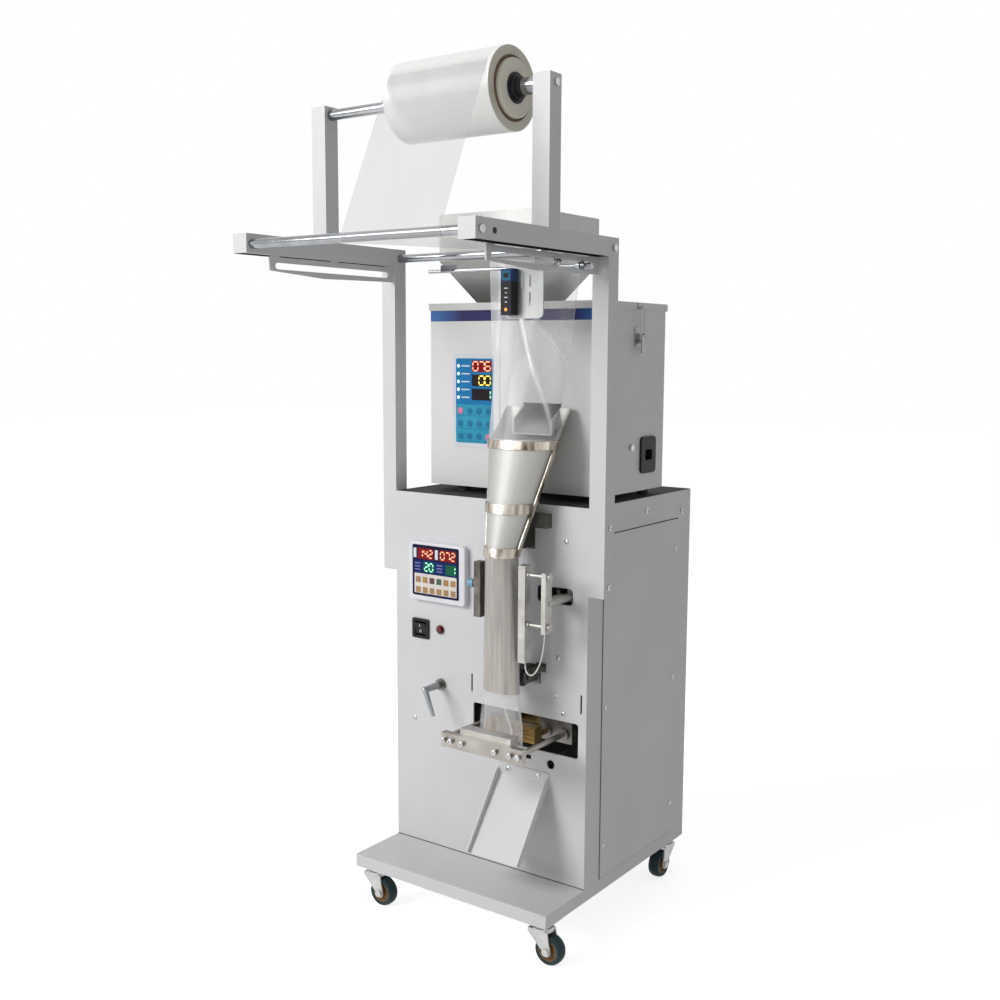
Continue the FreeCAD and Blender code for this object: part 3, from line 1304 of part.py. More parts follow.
def panel_brackets(lever_boss, bracket):
    """Rod bearings, guide of the seal carriage, roller bracket, lever boss and the former's bracket."""
    back = front_y + panel_sheet
    pieces = [lever_boss, bracket]
    for side in (-1, 1):
        x_out = process_x + side * (jaw_rod_spread + 15)
        x_in = process_x + side * (rear_rod_spread - 15)
        x0, x1 = sorted((x_out, x_in))
        plate = box(x0, x1, back + 8, back + 22, jaw_rod_z - 16, window_top + 22)
        tab = box(x0, x1, back, back + 10, window_top + 6, window_top + 22)
        guide = fuse([plate, tab])
        for spread in (jaw_rod_spread, rear_rod_spread):
            x = process_x + side * spread
            guide = guide.fuse(rod_y(back + 3, back + 9, x, jaw_rod_z, 9.5))
            guide = guide.cut(rod_y(back - 1, back + 30, x, jaw_rod_z, jaw_rod_radius + rod_guide_gap))
        pieces.append(guide)

    arm_x = process_x + seal_plate_x
    guide_y = back + seal_guide_setback
    guide_x = arm_x - seal_stroke / 2
    parts = [rod_x(guide_x - seal_guide_half, guide_x + seal_guide_half, guide_y, seal_arm_z, seal_guide_radius)]
    for side in (-1, 1):
        x0, x1 = sorted((guide_x + side * seal_guide_half, guide_x + side * (seal_guide_half - 4)))
        parts.append(box(x0, x1, back, guide_y + 8, seal_arm_z - 8, seal_arm_z + 8))
    pieces.append(fuse(parts))

    z = pull_roller_height
    y = tube_rear_y(z) + film_gap + film_thickness + pull_roller_gap + pull_roller_radius
    x0 = process_x - pull_roller_half
    x1 = process_x + pull_roller_half
    cheeks = []
    for side in (-1, 1):
        c0, c1 = sorted((process_x + side * (pull_roller_half + 1), process_x + side * (pull_roller_half + 6)))
        cheek = box(c0, c1, y, front_y, z - 10, z + 10).fuse(rod_x(c0, c1, y, z, 10.0))
        cheeks.append(cheek.cut(rod_x(c0 - 1, c1 + 1, y, z, pull_shaft_radius + running_gap)))
    foot = box(x0 - 12, x1 + 12, front_y - 3, front_y, z - 16, z + 16)
    knob = rod_y(y - 2, front_y - 2, x1 + 17, z + 12, 5.5)
    knob_foot = box(x1 + 5, x1 + 23, front_y - 3, front_y, z + 5, z + 19)
    pieces.append(fuse(cheeks + [foot, knob, knob_foot]))
    save("panel_brackets", pieces)


def pull_roller():
    """Rubber pull roller on its shaft, behind the sleeve."""
    x0 = process_x - pull_roller_half
    x1 = process_x + pull_roller_half
    z = pull_roller_height
    y = tube_rear_y(z) + film_gap + film_thickness + pull_roller_gap + pull_roller_radius
    rubber = rod_x(x0, x1, y, z, pull_roller_radius)
    shaft = rod_x(x0 - 6.5, x1 + 6.5, y, z, pull_shaft_radius)
    save("pull_roller", fuse([rubber, shaft]))


def output_chute():
    """Sloping sheet slide with low side walls, hung from a flange under the jaw window."""
    face = front_y - sheet
    slope = FreeCAD.Vector(0, -chute_foot_reach, chute_foot_height - chute_bend_height)
    upward = FreeCAD.Vector(0, slope.z, -slope.y).normalize()
    foot_y = face - chute_foot_reach
    outline = [(front_y, chute_top), (face, chute_top), (face, chute_bend_height), (foot_y, chute_foot_height),
               (foot_y + sheet, chute_foot_height), (front_y, chute_bend_height - sheet)]
    slide = yz_plate(outline, process_x - chute_half, process_x + chute_half)
    foot_edge = (foot_y + upward.y * chute_side_foot, chute_foot_height + upward.z * chute_side_foot)
    top_edge = (face + upward.y * chute_side_top, chute_bend_height + upward.z * chute_side_top)
    side_outline = [(face + sheet / 2, chute_bend_height), (foot_y + sheet / 2, chute_foot_height), foot_edge,
                    top_edge, (face, chute_bend_height + chute_side_top)]
    sides = []
    for x in (process_x - chute_half, process_x + chute_half - sheet):
        sides.append(yz_plate(side_outline, x, x + sheet))
    save("output_chute", fuse([slide] + sides))


def drives():
    """Gear motors of the jaws and of the pull roller, and the control box, inside the cabinet."""
    back = front_y + panel_sheet
    floor_z = base_top + sheet
    stand_top = floor_z + drive_stand_height
    gearbox_front = drive_y - gearbox_half_y
    gearbox_rear = drive_y + gearbox_half_y
    axis_z = stand_top + gearbox_height / 2
    crank_rear = gearbox_front - drive_shaft_length
    crank_front = crank_rear - crank_thickness
    stand = box(drive_x - drive_stand_half_x, drive_x + drive_stand_half_x, drive_y - drive_stand_half_y,
                drive_y + drive_stand_half_y, floor_z, stand_top)
    gearbox = box(drive_x - gearbox_half_x, drive_x + gearbox_half_x, gearbox_front, gearbox_rear,
                  stand_top, stand_top + gearbox_height)
    motor = rod_y(gearbox_rear, gearbox_rear + drive_motor_length, drive_x, axis_z, drive_motor_radius)
    shaft = rod_y(crank_front, gearbox_front, drive_x, axis_z, drive_shaft_radius)
    crank = rod_y(crank_front, crank_rear, drive_x, axis_z, crank_radius)
    pin = rod_y(crank_front - 12, crank_front + 1, drive_x, axis_z + crank_throw, crank_pin_radius)
    case_half = roller_gearbox_half
    case = box(process_x - case_half, process_x + case_half, back + 8, back + 52,
               pull_roller_height - case_half + 5, pull_roller_height + case_half - 5)
    roller_motor = rod_y(back + 52, back + 112, process_x, pull_roller_height, roller_motor_radius)
    feet = box(process_x - case_half - 10, process_x + case_half + 10, back, back + 8, pull_roller_height - 22,
               pull_roller_height + 22)
    save("gearmotors", [stand, gearbox, motor, fuse([shaft, crank, pin]), case, roller_motor, feet])
    case_left = -half_width + sheet
    save("control_box", box(case_left, case_left + control_box_width, control_box_front,
                            control_box_front + control_box_length, floor_z, floor_z + control_box_height))


def caster(name, x, y, heading):
    """Swivel caster whose wheel trails along a heading in degrees."""
    axle_z = wheel_radius
    leg_in = wheel_width / 2 + 1.2
    leg_out = leg_in + fork_sheet
    yoke_z = 54.0
    yoke_top = 57.5
    t = caster_trail
    outline = [(-fork_lead, yoke_top), (fork_tail, yoke_top), (t + 8.0, axle_z + 3), (t, axle_z - 7.5),
               (t - 9.5, axle_z + 2), (-fork_lead, yoke_z - 3)]
    legs = []
    for side in (-1, 1):
        y0, y1 = sorted((side * leg_in, side * leg_out))
        corners = [FreeCAD.Vector(px, y0, pz) for px, pz in outline]
        leg = Part.Face(Part.makePolygon(corners + corners[:1])).extrude(FreeCAD.Vector(0, y1 - y0, 0))
        legs.append(leg.fuse(rod_y(y0, y1, t, axle_z, 8.0)))
    yoke = box(-fork_lead, fork_tail, -leg_out, leg_out, yoke_z, yoke_top)
    race = rod_z(yoke_z, 61.0, 0, 0, 17.0)
    axle = rod_y(-leg_out - 2.5, leg_out + 2.5, t, axle_z, axle_radius)
    caps = [rod_y(leg_out - 0.1, leg_out + 3.5, t, axle_z, 6.0), rod_y(-leg_out - 3.5, -leg_out + 0.1, t, axle_z, 6.0)]
    fork = fuse(legs + [yoke, race, axle] + caps)
    fork = fork.cut(rod_z(yoke_z - 1, 62, 0, 0, king_pin_radius + running_gap))
    core = rod_y(-leg_in + 0.4, leg_in - 0.4, t, axle_z, 6.5)
    core = core.fuse(rod_y(-wheel_width / 2, wheel_width / 2, t, axle_z, wheel_core_radius))
    core = core.cut(rod_y(-20, 20, t, axle_z, axle_radius + running_gap))
    tyre = rod_y(-wheel_width / 2, wheel_width / 2, t, axle_z, wheel_radius)
    rim = [e for e in tyre.Edges if e.Closed]
    tyre = tyre.makeFillet(3.0, rim)
    tyre = tyre.cut(rod_y(-20, 20, t, axle_z, wheel_core_radius + 0.02))
    for node, shapes in (("caster_fork_" + name, [fork]), ("caster_wheel_" + name, [core, tyre])):
        placed = []
        for shape in shapes:
            shape = shape.copy()
            shape.rotate(FreeCAD.Vector(0, 0, 0), FreeCAD.Vector(0, 0, 1), heading)
            shape.translate(FreeCAD.Vector(x, y, 0))
            placed.append(shape)
        save(node, placed)
    plate_z = base_bottom - caster_plate_thickness
    half = caster_plate / 2
    plate = box(x - half, x + half, y - half, y + half, plate_z, base_bottom)
    upper = rod_z(61.3, plate_z + 0.1, x, y, 15.0)
    pin = rod_z(51.6, 62, x, y, king_pin_radius)
    head = rod_z(51.6, 53.7, x, y, 6.5)
    return fuse([plate, upper, pin, head])


def casters():
    """Four swivel casters, as they stand in use."""
    plates = [caster("front_left", -caster_x, caster_front_y, 0.0),
              caster("front_right", caster_x, caster_front_y, 0.0),
              caster("rear_left", -caster_x, caster_rear_y, 200.0),
              caster("rear_right", caster_x, caster_rear_y, 270.0)]
    save("caster_plates", plates)


def sensor():
    """Rod through the slotted plate with its nuts, and the film mark sensor on its bracket."""
    y = front_y - sensor_rod_setback
    z = slot_mid_z
    plate_in = half_width + 5
    plate_out = plate_in + slot_plate_thickness
    rod = rod_x(sensor_rod_left, stand_outer - 6, y, z, sensor_rod_radius)
    nuts = [rod_x(plate_in - 6, plate_in, y, z, 6.5), rod_x(plate_out, plate_out + 6, y, z, 6.5)]
    clamp = box(-60, -36, y - 6, y + 6, z - 1, z + 9)
    save("sensor_rod", fuse([rod, clamp] + nuts))
    face_y = y - 8.0
    left = process_x
    right = left + sensor_plate_width
    top = z + 3
    lug = box(left + 8, left + 20, face_y, y + 6, z - 6, z + 6)
    lug = lug.cut(rod_x(left + 7, left + 21, y, z, sensor_rod_radius + running_gap))
    plate = slot_y(left - 6, right, top - sensor_plate_height, top, face_y - 2, face_y, 9.0)
    bracket = fuse([lug, plate])
    for x, low, high in ((left + 24, 32, 8), (left + 40, 30, 12), (left + 40, 58, 38)):
        bracket = bracket.cut(slot_y(x, x + 3, z - low, z - high, face_y - 3, face_y + 1, 1.4))
    lens_x = left + sensor_shift - sensor_width / 2
    bracket = bracket.cut(rod_y(face_y - 3, face_y + 1, lens_x, z - sensor_drop + 12, lens_radius + 0.3))
    save("sensor_bracket", bracket)
    low = z - sensor_drop
    body_right = left + sensor_shift
    body = box(body_right - sensor_width, body_right, face_y - 2 - sensor_depth, face_y - 2, low,
               low + sensor_height)
    edges = [e for e in body.Edges if abs(e.tangentAt(e.FirstParameter).z) > 0.9]
    lens = rod_y(face_y - 2.1, face_y + 3, body_right - sensor_width / 2, low + 12, lens_radius)
    save("photo_sensor", fuse([body.makeFillet(2.0, edges), lens]))


def fasteners():
    """Bolts of the bars, screws of the panels and of the legs."""
    pieces = []
    shank = tube_size + 18
    for side in (-1, 1):
        face = side * stand_outer
        for y, z in ((front_bar_y, bar_z), (rear_bar_y, bar_z), (shaft_y, shaft_z)):
            pieces.append(bolt_x(face, side, y, z, shank))
        out = FreeCAD.Vector(side, 0, 0)
        for z in (leg_bottom + 17, leg_bottom + 112):
            pieces.append(screw_head(face, front_y + tube_size / 2, z, out, 4.5, 3.0))
        cover = side * (half_width + cover_sheet)
        for y in (front_y + side_cover_front + cover_screw_inset, rear_y - side_cover_rear - cover_screw_inset):
            for z in (base_top + 58, base_top + 295, cabinet_top - side_cover_top - 53):
                pieces.append(screw_head(cover, y, z, out, 3.5, 2.0))
        for y, z in ((front_y + 187, cabinet_top - 23), (rear_y - 33, cabinet_top - 37)):
            pieces.append(screw_head(side * half_width, y, z, out, 5.0, 3.0))
        plug_x = side * (stand_outer - tube_wall)
        plug = Part.makeCylinder(4.4, tube_wall, FreeCAD.Vector(plug_x, front_bar_y + 31, bar_z), out)
        pieces.append(plug)
    forward = FreeCAD.Vector(0, -1, 0)
    pieces.append(screw_head(weigher_right, weigher_front + 94.5, 813.0, FreeCAD.Vector(1, 0, 0), 5.5, 6.0))
    nut_y = front_y - 114
    slot_outer = half_width + 5 + slot_plate_thickness
    washer = rod_x(slot_outer, slot_outer + 1.5, nut_y, slot_mid_z, 8.0)
    hub = rod_x(slot_outer + 1, slot_outer + 8, nut_y, slot_mid_z, 5.0)
    wings = box(slot_outer + 3, slot_outer + 6, nut_y - 13, nut_y + 13, slot_mid_z - 2.5, slot_mid_z + 2.5)
    stud = rod_x(half_width + 1, slot_outer + 11, nut_y, slot_mid_z, 3.0)
    head = rod_x(half_width + 1, half_width + 5, nut_y, slot_mid_z, 7.0)
    pieces.append(fuse([washer, hub, wings, stud, head]))
    for x, z in panel_screw_places:
        pieces.append(screw_head(x, front_y, z, forward, 3.5, 2.2))
    for x in (process_x - 30, process_x + 30):
        pieces.append(screw_head(x, front_y - sheet, chute_top - 8, forward, 3.5, 2.2))
    save("panel_screws", pieces)


os.makedirs("parts", exist_ok=True)
base_platform()
cabinet_shell()
front_panel()
covers()
save("stand_left", stand_side(-1))
save("stand_right", stand_side(1))
slot_plates()
bars_and_shaft()
film_roll()
save("film_web", [film_straights(), film_curtain(), film_bag()])
film_sleeve()
former()
save("former_hoops", former_hoops())
weigher_body()
lid_and_hopper()
weigher_inside()
weigher_fittings()
boss = controls()
vertical_seal()
seal_wire()
jaws()
panel_brackets(boss, former_bracket())
pull_roller()
output_chute()
drives()
casters()
sensor()
fasteners()
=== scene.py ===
"""Looks of the powder filling machine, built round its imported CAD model.

Every size is in millimetres of the machine's frame and becomes metres where a mesh is made.
"""

import logging
import math
from dataclasses import dataclass
from enum import Enum

import bmesh
import bpy
from mathutils import Euler, Matrix, Vector, noise


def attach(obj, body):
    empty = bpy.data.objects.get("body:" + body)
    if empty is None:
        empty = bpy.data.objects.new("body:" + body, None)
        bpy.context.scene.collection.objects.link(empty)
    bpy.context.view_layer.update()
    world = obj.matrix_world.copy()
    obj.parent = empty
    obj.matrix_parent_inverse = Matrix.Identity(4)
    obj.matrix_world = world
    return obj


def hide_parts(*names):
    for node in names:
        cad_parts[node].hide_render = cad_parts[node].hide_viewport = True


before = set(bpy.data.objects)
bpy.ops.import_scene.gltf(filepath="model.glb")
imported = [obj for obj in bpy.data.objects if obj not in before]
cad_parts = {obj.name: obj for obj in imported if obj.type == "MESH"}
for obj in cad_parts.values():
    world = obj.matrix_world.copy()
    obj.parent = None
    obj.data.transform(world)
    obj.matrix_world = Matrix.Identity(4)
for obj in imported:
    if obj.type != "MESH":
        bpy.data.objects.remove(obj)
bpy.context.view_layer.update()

LOG = logging.getLogger("machine")
MM = 0.001
ROOT = "machine_frame"

FRONT_Y = -6.5
WEIGHER_FRONT_Y = 39.5
PROCESS_X = 78.0


def linear(hex_colour: str) -> tuple[float, float, float, float]:
    """Turn a colour as the eye reads it into the linear values that a shader takes.

    Args:
        hex_colour: sRGB colour such as "#d9d9da".

    Returns:
        Linear red, green, blue and an alpha of 1.
    """
    channels = []
    for start in (1, 3, 5):
        value = int(hex_colour[start:start + 2], 16) / 255.0
        channels.append(value / 12.92 if value <= 0.04045 else ((value + 0.055) / 1.055) ** 2.4)
    return (channels[0], channels[1], channels[2], 1.0)


def add_node(tree: bpy.types.NodeTree, kind: str, values: dict | None = None, links: dict | None = None,
             **settings: object) -> bpy.types.Node:
    """Add a node with its settings, socket values and incoming links.

    Args:
        tree: Node tree that takes the node.
        kind: Blender's name of the node type.
        values: Socket name or index to a fixed value.
        links: Socket name or index to the output that feeds it.
        **settings: Properties of the node itself.

    Returns:
        The new node.
    """
    node = tree.nodes.new(kind)
    for name, value in settings.items():
        setattr(node, name, value)
    for socket, value in (values or {}).items():
        node.inputs[socket].default_value = value
    for socket, source in (links or {}).items():
        tree.links.new(source, node.inputs[socket])
    return node


@dataclass(frozen=True)
class Finish:
    """Surface of one real material; each kind below fills in its pattern.

    Attributes:
        name: Common name of the material and how its surface was made.
        colour: Its main colour, as the eye reads it.
    """

    name: str
    colour: str

    def material(self) -> bpy.types.Material:
        """Make the material on first use and give the same one afterwards.

        Returns:
            The Blender material.
        """
        made = bpy.data.materials.get(self.name)
        if made is None:
            made = bpy.data.materials.new(self.name)
            made.use_nodes = True
            tree = made.node_tree
            tree.nodes.clear()
            shader = add_node(tree, "ShaderNodeBsdfPrincipled", {"Base Color": linear(self.colour)})
            add_node(tree, "ShaderNodeOutputMaterial", links={"Surface": shader.outputs[0]})
            coords = add_node(tree, "ShaderNodeTexCoord")
            made.diffuse_color = linear(self.colour)
            self.dress(tree, shader, coords.outputs["Object"])
        return made

    def dress(self, tree: bpy.types.NodeTree, shader: bpy.types.Node, place: bpy.types.NodeSocket) -> None:
        """Add the finish's pattern; the plain kind has none."""

    def speckle(self, tree: bpy.types.NodeTree, place: bpy.types.NodeSocket, grain: float,
                detail: float = 2.0) -> bpy.types.NodeSocket:
        """Cloudy pattern with a grain size in millimetres.

        Args:
            tree: Node tree of the material.
            place: Coordinates in metres.
            grain: Size of one spot in millimetres.
            detail: Finer octaves on top of the main one.

        Returns:
            The pattern's value, from 0 to 1.
        """
        cloud = add_node(tree, "ShaderNodeTexNoise", {"Scale": 1.0 / (grain * MM), "Detail": detail},
                         {"Vector": place})
        return cloud.outputs[0]

    def blend(self, tree: bpy.types.NodeTree, share: bpy.types.NodeSocket, low: str,
              high: str) -> bpy.types.NodeSocket:
        """Colour that goes from one to another with a pattern.

        Args:
            tree: Node tree of the material.
            share: Pattern from 0 to 1.
            low: Colour at 0.
            high: Colour at 1.

        Returns:
            The colour output.
        """
        ramp = add_node(tree, "ShaderNodeValToRGB", links={"Fac": share})
        ramp.color_ramp.elements[0].position = 0.3
        ramp.color_ramp.elements[1].position = 0.7
        ramp.color_ramp.elements[0].color = linear(low)
        ramp.color_ramp.elements[1].color = linear(high)
        return ramp.outputs["Color"]

    def span(self, tree: bpy.types.NodeTree, share: bpy.types.NodeSocket, low: float,
             high: float) -> bpy.types.NodeSocket:
        """Value that goes from one number to another with a pattern.

        Args:
            tree: Node tree of the material.
            share: Pattern from 0 to 1.
            low: Value at 0.
            high: Value at 1.

        Returns:
            The value output.
        """
        scale = add_node(tree, "ShaderNodeMapRange", {"To Min": low, "To Max": high}, {"Value": share})
        return scale.outputs["Result"]

    def emboss(self, tree: bpy.types.NodeTree, shader: bpy.types.Node, height: bpy.types.NodeSocket,
               depth: float, strength: float = 1.0) -> None:
        """Turn a pattern into relief.

        Args:
            tree: Node tree of the material.
            shader: Shader that takes the relief.
            height: Pattern from 0 to 1.
            depth: Height of the relief in millimetres.
            strength: Share of the relief that shows.
        """
        bump = add_node(tree, "ShaderNodeBump", {"Strength": strength, "Distance": depth * MM}, {"Height": height})
        tree.links.new(bump.outputs["Normal"], shader.inputs["Normal"])


@dataclass(frozen=True)
class PowderCoat(Finish):
    """Baked polyester powder on sheet steel: a calm satin grey with a fine orange peel."""

    shade: str = "#d2d2d4"
    roughness: float = 0.42
    peel: float = 2.2

    def dress(self, tree, shader, place) -> None:
        """Slow tint changes over a hand's width, and orange peel drawn at twice its real size to show."""
        tint = self.blend(tree, self.speckle(tree, place, 180.0, 3.0), self.shade, self.colour)
        tree.links.new(tint, shader.inputs["Base Color"])
        peel = self.speckle(tree, place, self.peel, 1.0)
        sheen = self.span(tree, self.speckle(tree, place, 60.0), self.roughness - 0.06, self.roughness + 0.06)
        tree.links.new(sheen, shader.inputs["Roughness"])
        self.emboss(tree, shader, peel, 0.05, 0.5)


@dataclass(frozen=True)
class BrushedSteel(Finish):
    """Stainless sheet brushed along one axis, which streaks its highlights."""

    shade: str = "#a9a9a8"
    roughness: float = 0.3
    along: tuple[float, float, float] = (1.0, 1.0, 0.04)
    line: float = 1.6

    def dress(self, tree, shader, place) -> None:
        """Brush lines are really about 0.1 mm wide and are drawn 1.6 mm wide, so that they show; the wider,
        high-contrast streaks on the polished strap are a painted reflection.
        """
        shader.inputs["Metallic"].default_value = 1.0
        stretch = add_node(tree, "ShaderNodeMapping", {"Scale": self.along}, {"Vector": place})
        lines = self.speckle(tree, stretch.outputs[0], self.line, 3.0)
        tree.links.new(self.blend(tree, lines, self.shade, self.colour), shader.inputs["Base Color"])
        tree.links.new(self.span(tree, lines, self.roughness - 0.08, self.roughness + 0.1),
                       shader.inputs["Roughness"])
        self.emboss(tree, shader, lines, 0.02, 0.4)


@dataclass(frozen=True)
class Plating(Finish):
    """Chrome or zinc plate on steel: mirror bright or milky, with handling marks."""

    shade: str = "#b4b7ba"
    roughness: float = 0.1
    spread: float = 0.06
    patch: float = 9.0

    def dress(self, tree, shader, place) -> None:
        """Handling marks a finger wide change tint and gloss."""
        shader.inputs["Metallic"].default_value = 1.0
        marks = self.speckle(tree, place, self.patch, 4.0)
        tree.links.new(self.blend(tree, marks, self.shade, self.colour), shader.inputs["Base Color"])
        tree.links.new(self.span(tree, marks, self.roughness - self.spread, self.roughness + self.spread),
                       shader.inputs["Roughness"])


@dataclass(frozen=True)
class CastMetal(Finish):
    """Sand cast or heat-stained metal with a pitted, dull skin."""

    shade: str = "#6f7071"
    roughness: float = 0.55
    pit: float = 1.8

    def dress(self, tree, shader, place) -> None:
        """Sand grain pits of about 1.8 mm and broader stains."""
        shader.inputs["Metallic"].default_value = 0.85
        stain = self.speckle(tree, place, 22.0, 4.0)
        tree.links.new(self.blend(tree, stain, self.shade, self.colour), shader.inputs["Base Color"])
        shader.inputs["Roughness"].default_value = self.roughness
        self.emboss(tree, shader, self.speckle(tree, place, self.pit, 2.0), 0.12, 0.6)


@dataclass(frozen=True)
class Plastic(Finish):
    """Injection moulded plastic with a fine spark-eroded grain."""

    shade: str = "#1b1b1d"
    roughness: float = 0.4
    grain: float = 0.8
    relief: float = 0.03
    coat: float = 0.0
    reflection: float = 0.5

    def dress(self, tree, shader, place) -> None:
        """Mould grain drawn at 0.8 mm, so that it shows, with a faint change of tone over 25 mm."""
        shader.inputs["Specular IOR Level"].default_value = self.reflection
        tone = self.speckle(tree, place, 25.0, 3.0)
        tree.links.new(self.blend(tree, tone, self.shade, self.colour), shader.inputs["Base Color"])
        shader.inputs["IOR"].default_value = 1.53
        shader.inputs["Coat Weight"].default_value = self.coat
        tree.links.new(self.span(tree, tone, self.roughness - 0.05, self.roughness + 0.07),
                       shader.inputs["Roughness"])
        self.emboss(tree, shader, self.speckle(tree, place, self.grain, 1.0), self.relief, 0.5)


@dataclass(frozen=True)
class InkFade(Finish):
    """Printed polyester film whose ink fades from one colour to others along an axis."""

    axis: int = 0
    start: float = 0.0
    end: float = 100.0
    stops: tuple[tuple[float, str], ...] = ((1.0, "#3f6fb0"),)
    roughness: float = 0.28
    sharp: bool = False

    def dress(self, tree, shader, place) -> None:
        """Flat ink with a fine screen print dot of 0.9 mm in its gloss."""
        shader.inputs["Specular IOR Level"].default_value = 0.2
        axes = add_node(tree, "ShaderNodeSeparateXYZ", links={"Vector": place})
        share = add_node(tree, "ShaderNodeMapRange", {"From Min": self.start * MM, "From Max": self.end * MM},
                         {"Value": axes.outputs[self.axis]})
        ramp = add_node(tree, "ShaderNodeValToRGB", links={"Fac": share.outputs["Result"]})
        marks = ramp.color_ramp.elements
        marks[0].color = linear(self.colour)
        marks[1].position, colour = self.stops[0]
        marks[1].color = linear(colour)
        for position, colour in self.stops[1:]:
            marks.new(position).color = linear(colour)
        if self.sharp:
            ramp.color_ramp.interpolation = "CONSTANT"
        tree.links.new(ramp.outputs["Color"], shader.inputs["Base Color"])
        dots = self.speckle(tree, place, 0.9, 1.0)
        tree.links.new(self.span(tree, dots, self.roughness - 0.05, self.roughness + 0.05),
                       shader.inputs["Roughness"])


@dataclass(frozen=True)
class Glow(Finish):
    """Lit segment or lamp behind a tinted window, brightest in its middle."""

    strength: float = 1.4

    def dress(self, tree, shader, place) -> None:
        """Light is a little uneven over 2 mm, as behind a diffuser."""
        patch = self.speckle(tree, place, 2.0, 1.0)
        shader.inputs["Roughness"].default_value = 0.3
        shader.inputs["Emission Color"].default_value = linear(self.colour)
        tree.links.new(self.span(tree, patch, self.strength * 0.75, self.strength * 1.1),
                       shader.inputs["Emission Strength"])


@dataclass(frozen=True)
class WoundFilm(Finish):
    """Milky film wound on a roll: soft gloss round it, edge lines of the turns on its ends and a faint painted glow."""

    axis_y: float = -158.0
    axis_z: float = 1342.5
    turn: float = 2.4
    edge: str = "#f1f1ee"
    # Strength of the painted glow: emission that brightens the film though it is no lamp.
    glow: float = 0.12

    def dress(self, tree, shader, place) -> None:
        """Turns are 0.05 mm thick and are drawn as rings 2.4 mm apart; a faint emission is painted light that stands
        for light scattered through the milky film.
        """
        centred = add_node(tree, "ShaderNodeVectorMath", {1: (0.0, -self.axis_y * MM, -self.axis_z * MM)},
                           {0: place}, operation="ADD")
        rings = add_node(tree, "ShaderNodeTexWave", {"Scale": 0.314 / (self.turn * MM), "Distortion": 0.35},
                         {"Vector": centred.outputs[0]}, wave_type="RINGS", rings_direction="X")
        tree.links.new(self.blend(tree, rings.outputs["Fac"], self.edge, self.colour), shader.inputs["Base Color"])
        shader.inputs["Roughness"].default_value = 0.34
        shader.inputs["Coat Weight"].default_value = 0.25
        shader.inputs["Coat Roughness"].default_value = 0.2
        # Painted glow: the film gives off a little light of its own colour.
        shader.inputs["Emission Color"].default_value = linear(self.colour)
        shader.inputs["Emission Strength"].default_value = self.glow
        self.emboss(tree, shader, rings.outputs["Fac"], 0.05, 0.35)


@dataclass(frozen=True)
class ClearFilm(Finish):
    """Thin blown polyethylene film: see-through, milky where it folds or lies double."""

    thin: float = 0.16
    thick: float = 0.9
    ripple: float = 1.2
    roughness: float = 0.16

    def dress(self, tree, shader, place) -> None:
        """The fold value on the mesh makes the film denser, and 30 mm ripples bend its gloss."""
        fold = add_node(tree, "ShaderNodeAttribute", attribute_name="fold")
        cover = self.span(tree, fold.outputs["Fac"], self.thin, self.thick)
        tree.links.new(cover, shader.inputs["Alpha"])
        shader.inputs["Roughness"].default_value = self.roughness
        shader.inputs["IOR"].default_value = 1.51
        self.emboss(tree, shader, self.speckle(tree, place, 30.0, 2.0), self.ripple, 0.5)


CABINET_GREY = PowderCoat("powder_coated_steel_light_grey", "#dedee0", "#d6d6d8")
WEIGHER_GREY = PowderCoat("powder_coated_steel_pale_grey", "#e2e1e0", "#dbdad8", 0.4)
CHUTE_WHITE = PowderCoat("powder_coated_steel_white", "#dedede", "#d8d8d8", 0.45)
# Painted reflection: this chrome's colours are set darker than bare chrome, standing in for the dark surroundings it
# mirrors; the patches between the two colours are handling marks.
CHROME = Plating("polished_chrome_plate", "#a3a5a8", "#8b8e91", 0.12, 0.03, 40.0)
ZINC = Plating("bright_zinc_plate", "#a9abaa", "#979998", 0.5, 0.05, 24.0)
BOLT_ZINC = Plating("polished_zinc_bolt", "#c4c6c7", "#a6a8a9", 0.22, 0.05, 12.0)
GUIDE_STEEL = Plating("dark_machined_steel", "#7a7874", "#64625e", 0.42, 0.06, 18.0)
FORK_ZINC = Plating("milky_zinc_plate", "#c2c3c1", "#b4b5b3", 0.55, 0.05, 24.0)
JAW_PLATE_STEEL = Plating("warm_ground_steel", "#aaa6a0", "#8f8b85", 0.34, 0.05, 30.0)
SHEET_STEEL = BrushedSteel("brushed_stainless_sheet", "#a2a19f", "#949392", 0.46)
SPOUT_STEEL = BrushedSteel("satin_stainless_spout", "#d2d1cf", "#c2c1bf", 0.4)
FUNNEL_STEEL = BrushedSteel("satin_stainless_former", "#b4b3b0", "#a5a4a0", 0.56)
TUBE_STEEL = BrushedSteel("worn_stainless_tube", "#aca59e", "#837d77", 0.42, (1.0, 1.0, 0.03), 5.0)
# Painted reflection: strong dark brown and pale streaks along the polished strap stand in for the surroundings it
# mirrors.
HOOP_STEEL = BrushedSteel("polished_stainless_strap", "#d9d2c6", "#5c4f43", 0.26, (1.0, 1.0, 0.03), 10.0)
HEATER_STEEL = CastMetal("heat_stained_steel_bar", "#76716b", "#4b4642", 0.45)
HEATER_ALUMINIUM = CastMetal("milled_aluminium_bar", "#bebdb9", "#a19f9a", 0.45)
HEATER_BRASS = CastMetal("heat_stained_brass_bar", "#94794a", "#65502c", 0.42)
CAST_ALUMINIUM = CastMetal("sand_cast_aluminium", "#8f9091", "#66686a", 0.55)
BLACK_ABS = Plastic("moulded_black_abs", "#161617", "#0e0e10", 0.45, 0.8, 0.05, 0.0, 0.22)
WHITE_ABS = Plastic("moulded_white_abs", "#ececef", "#e2e2e8", 0.34)
CREAM_PP = Plastic("moulded_cream_polypropylene", "#f6f1e2", "#ece7d6", 0.45)
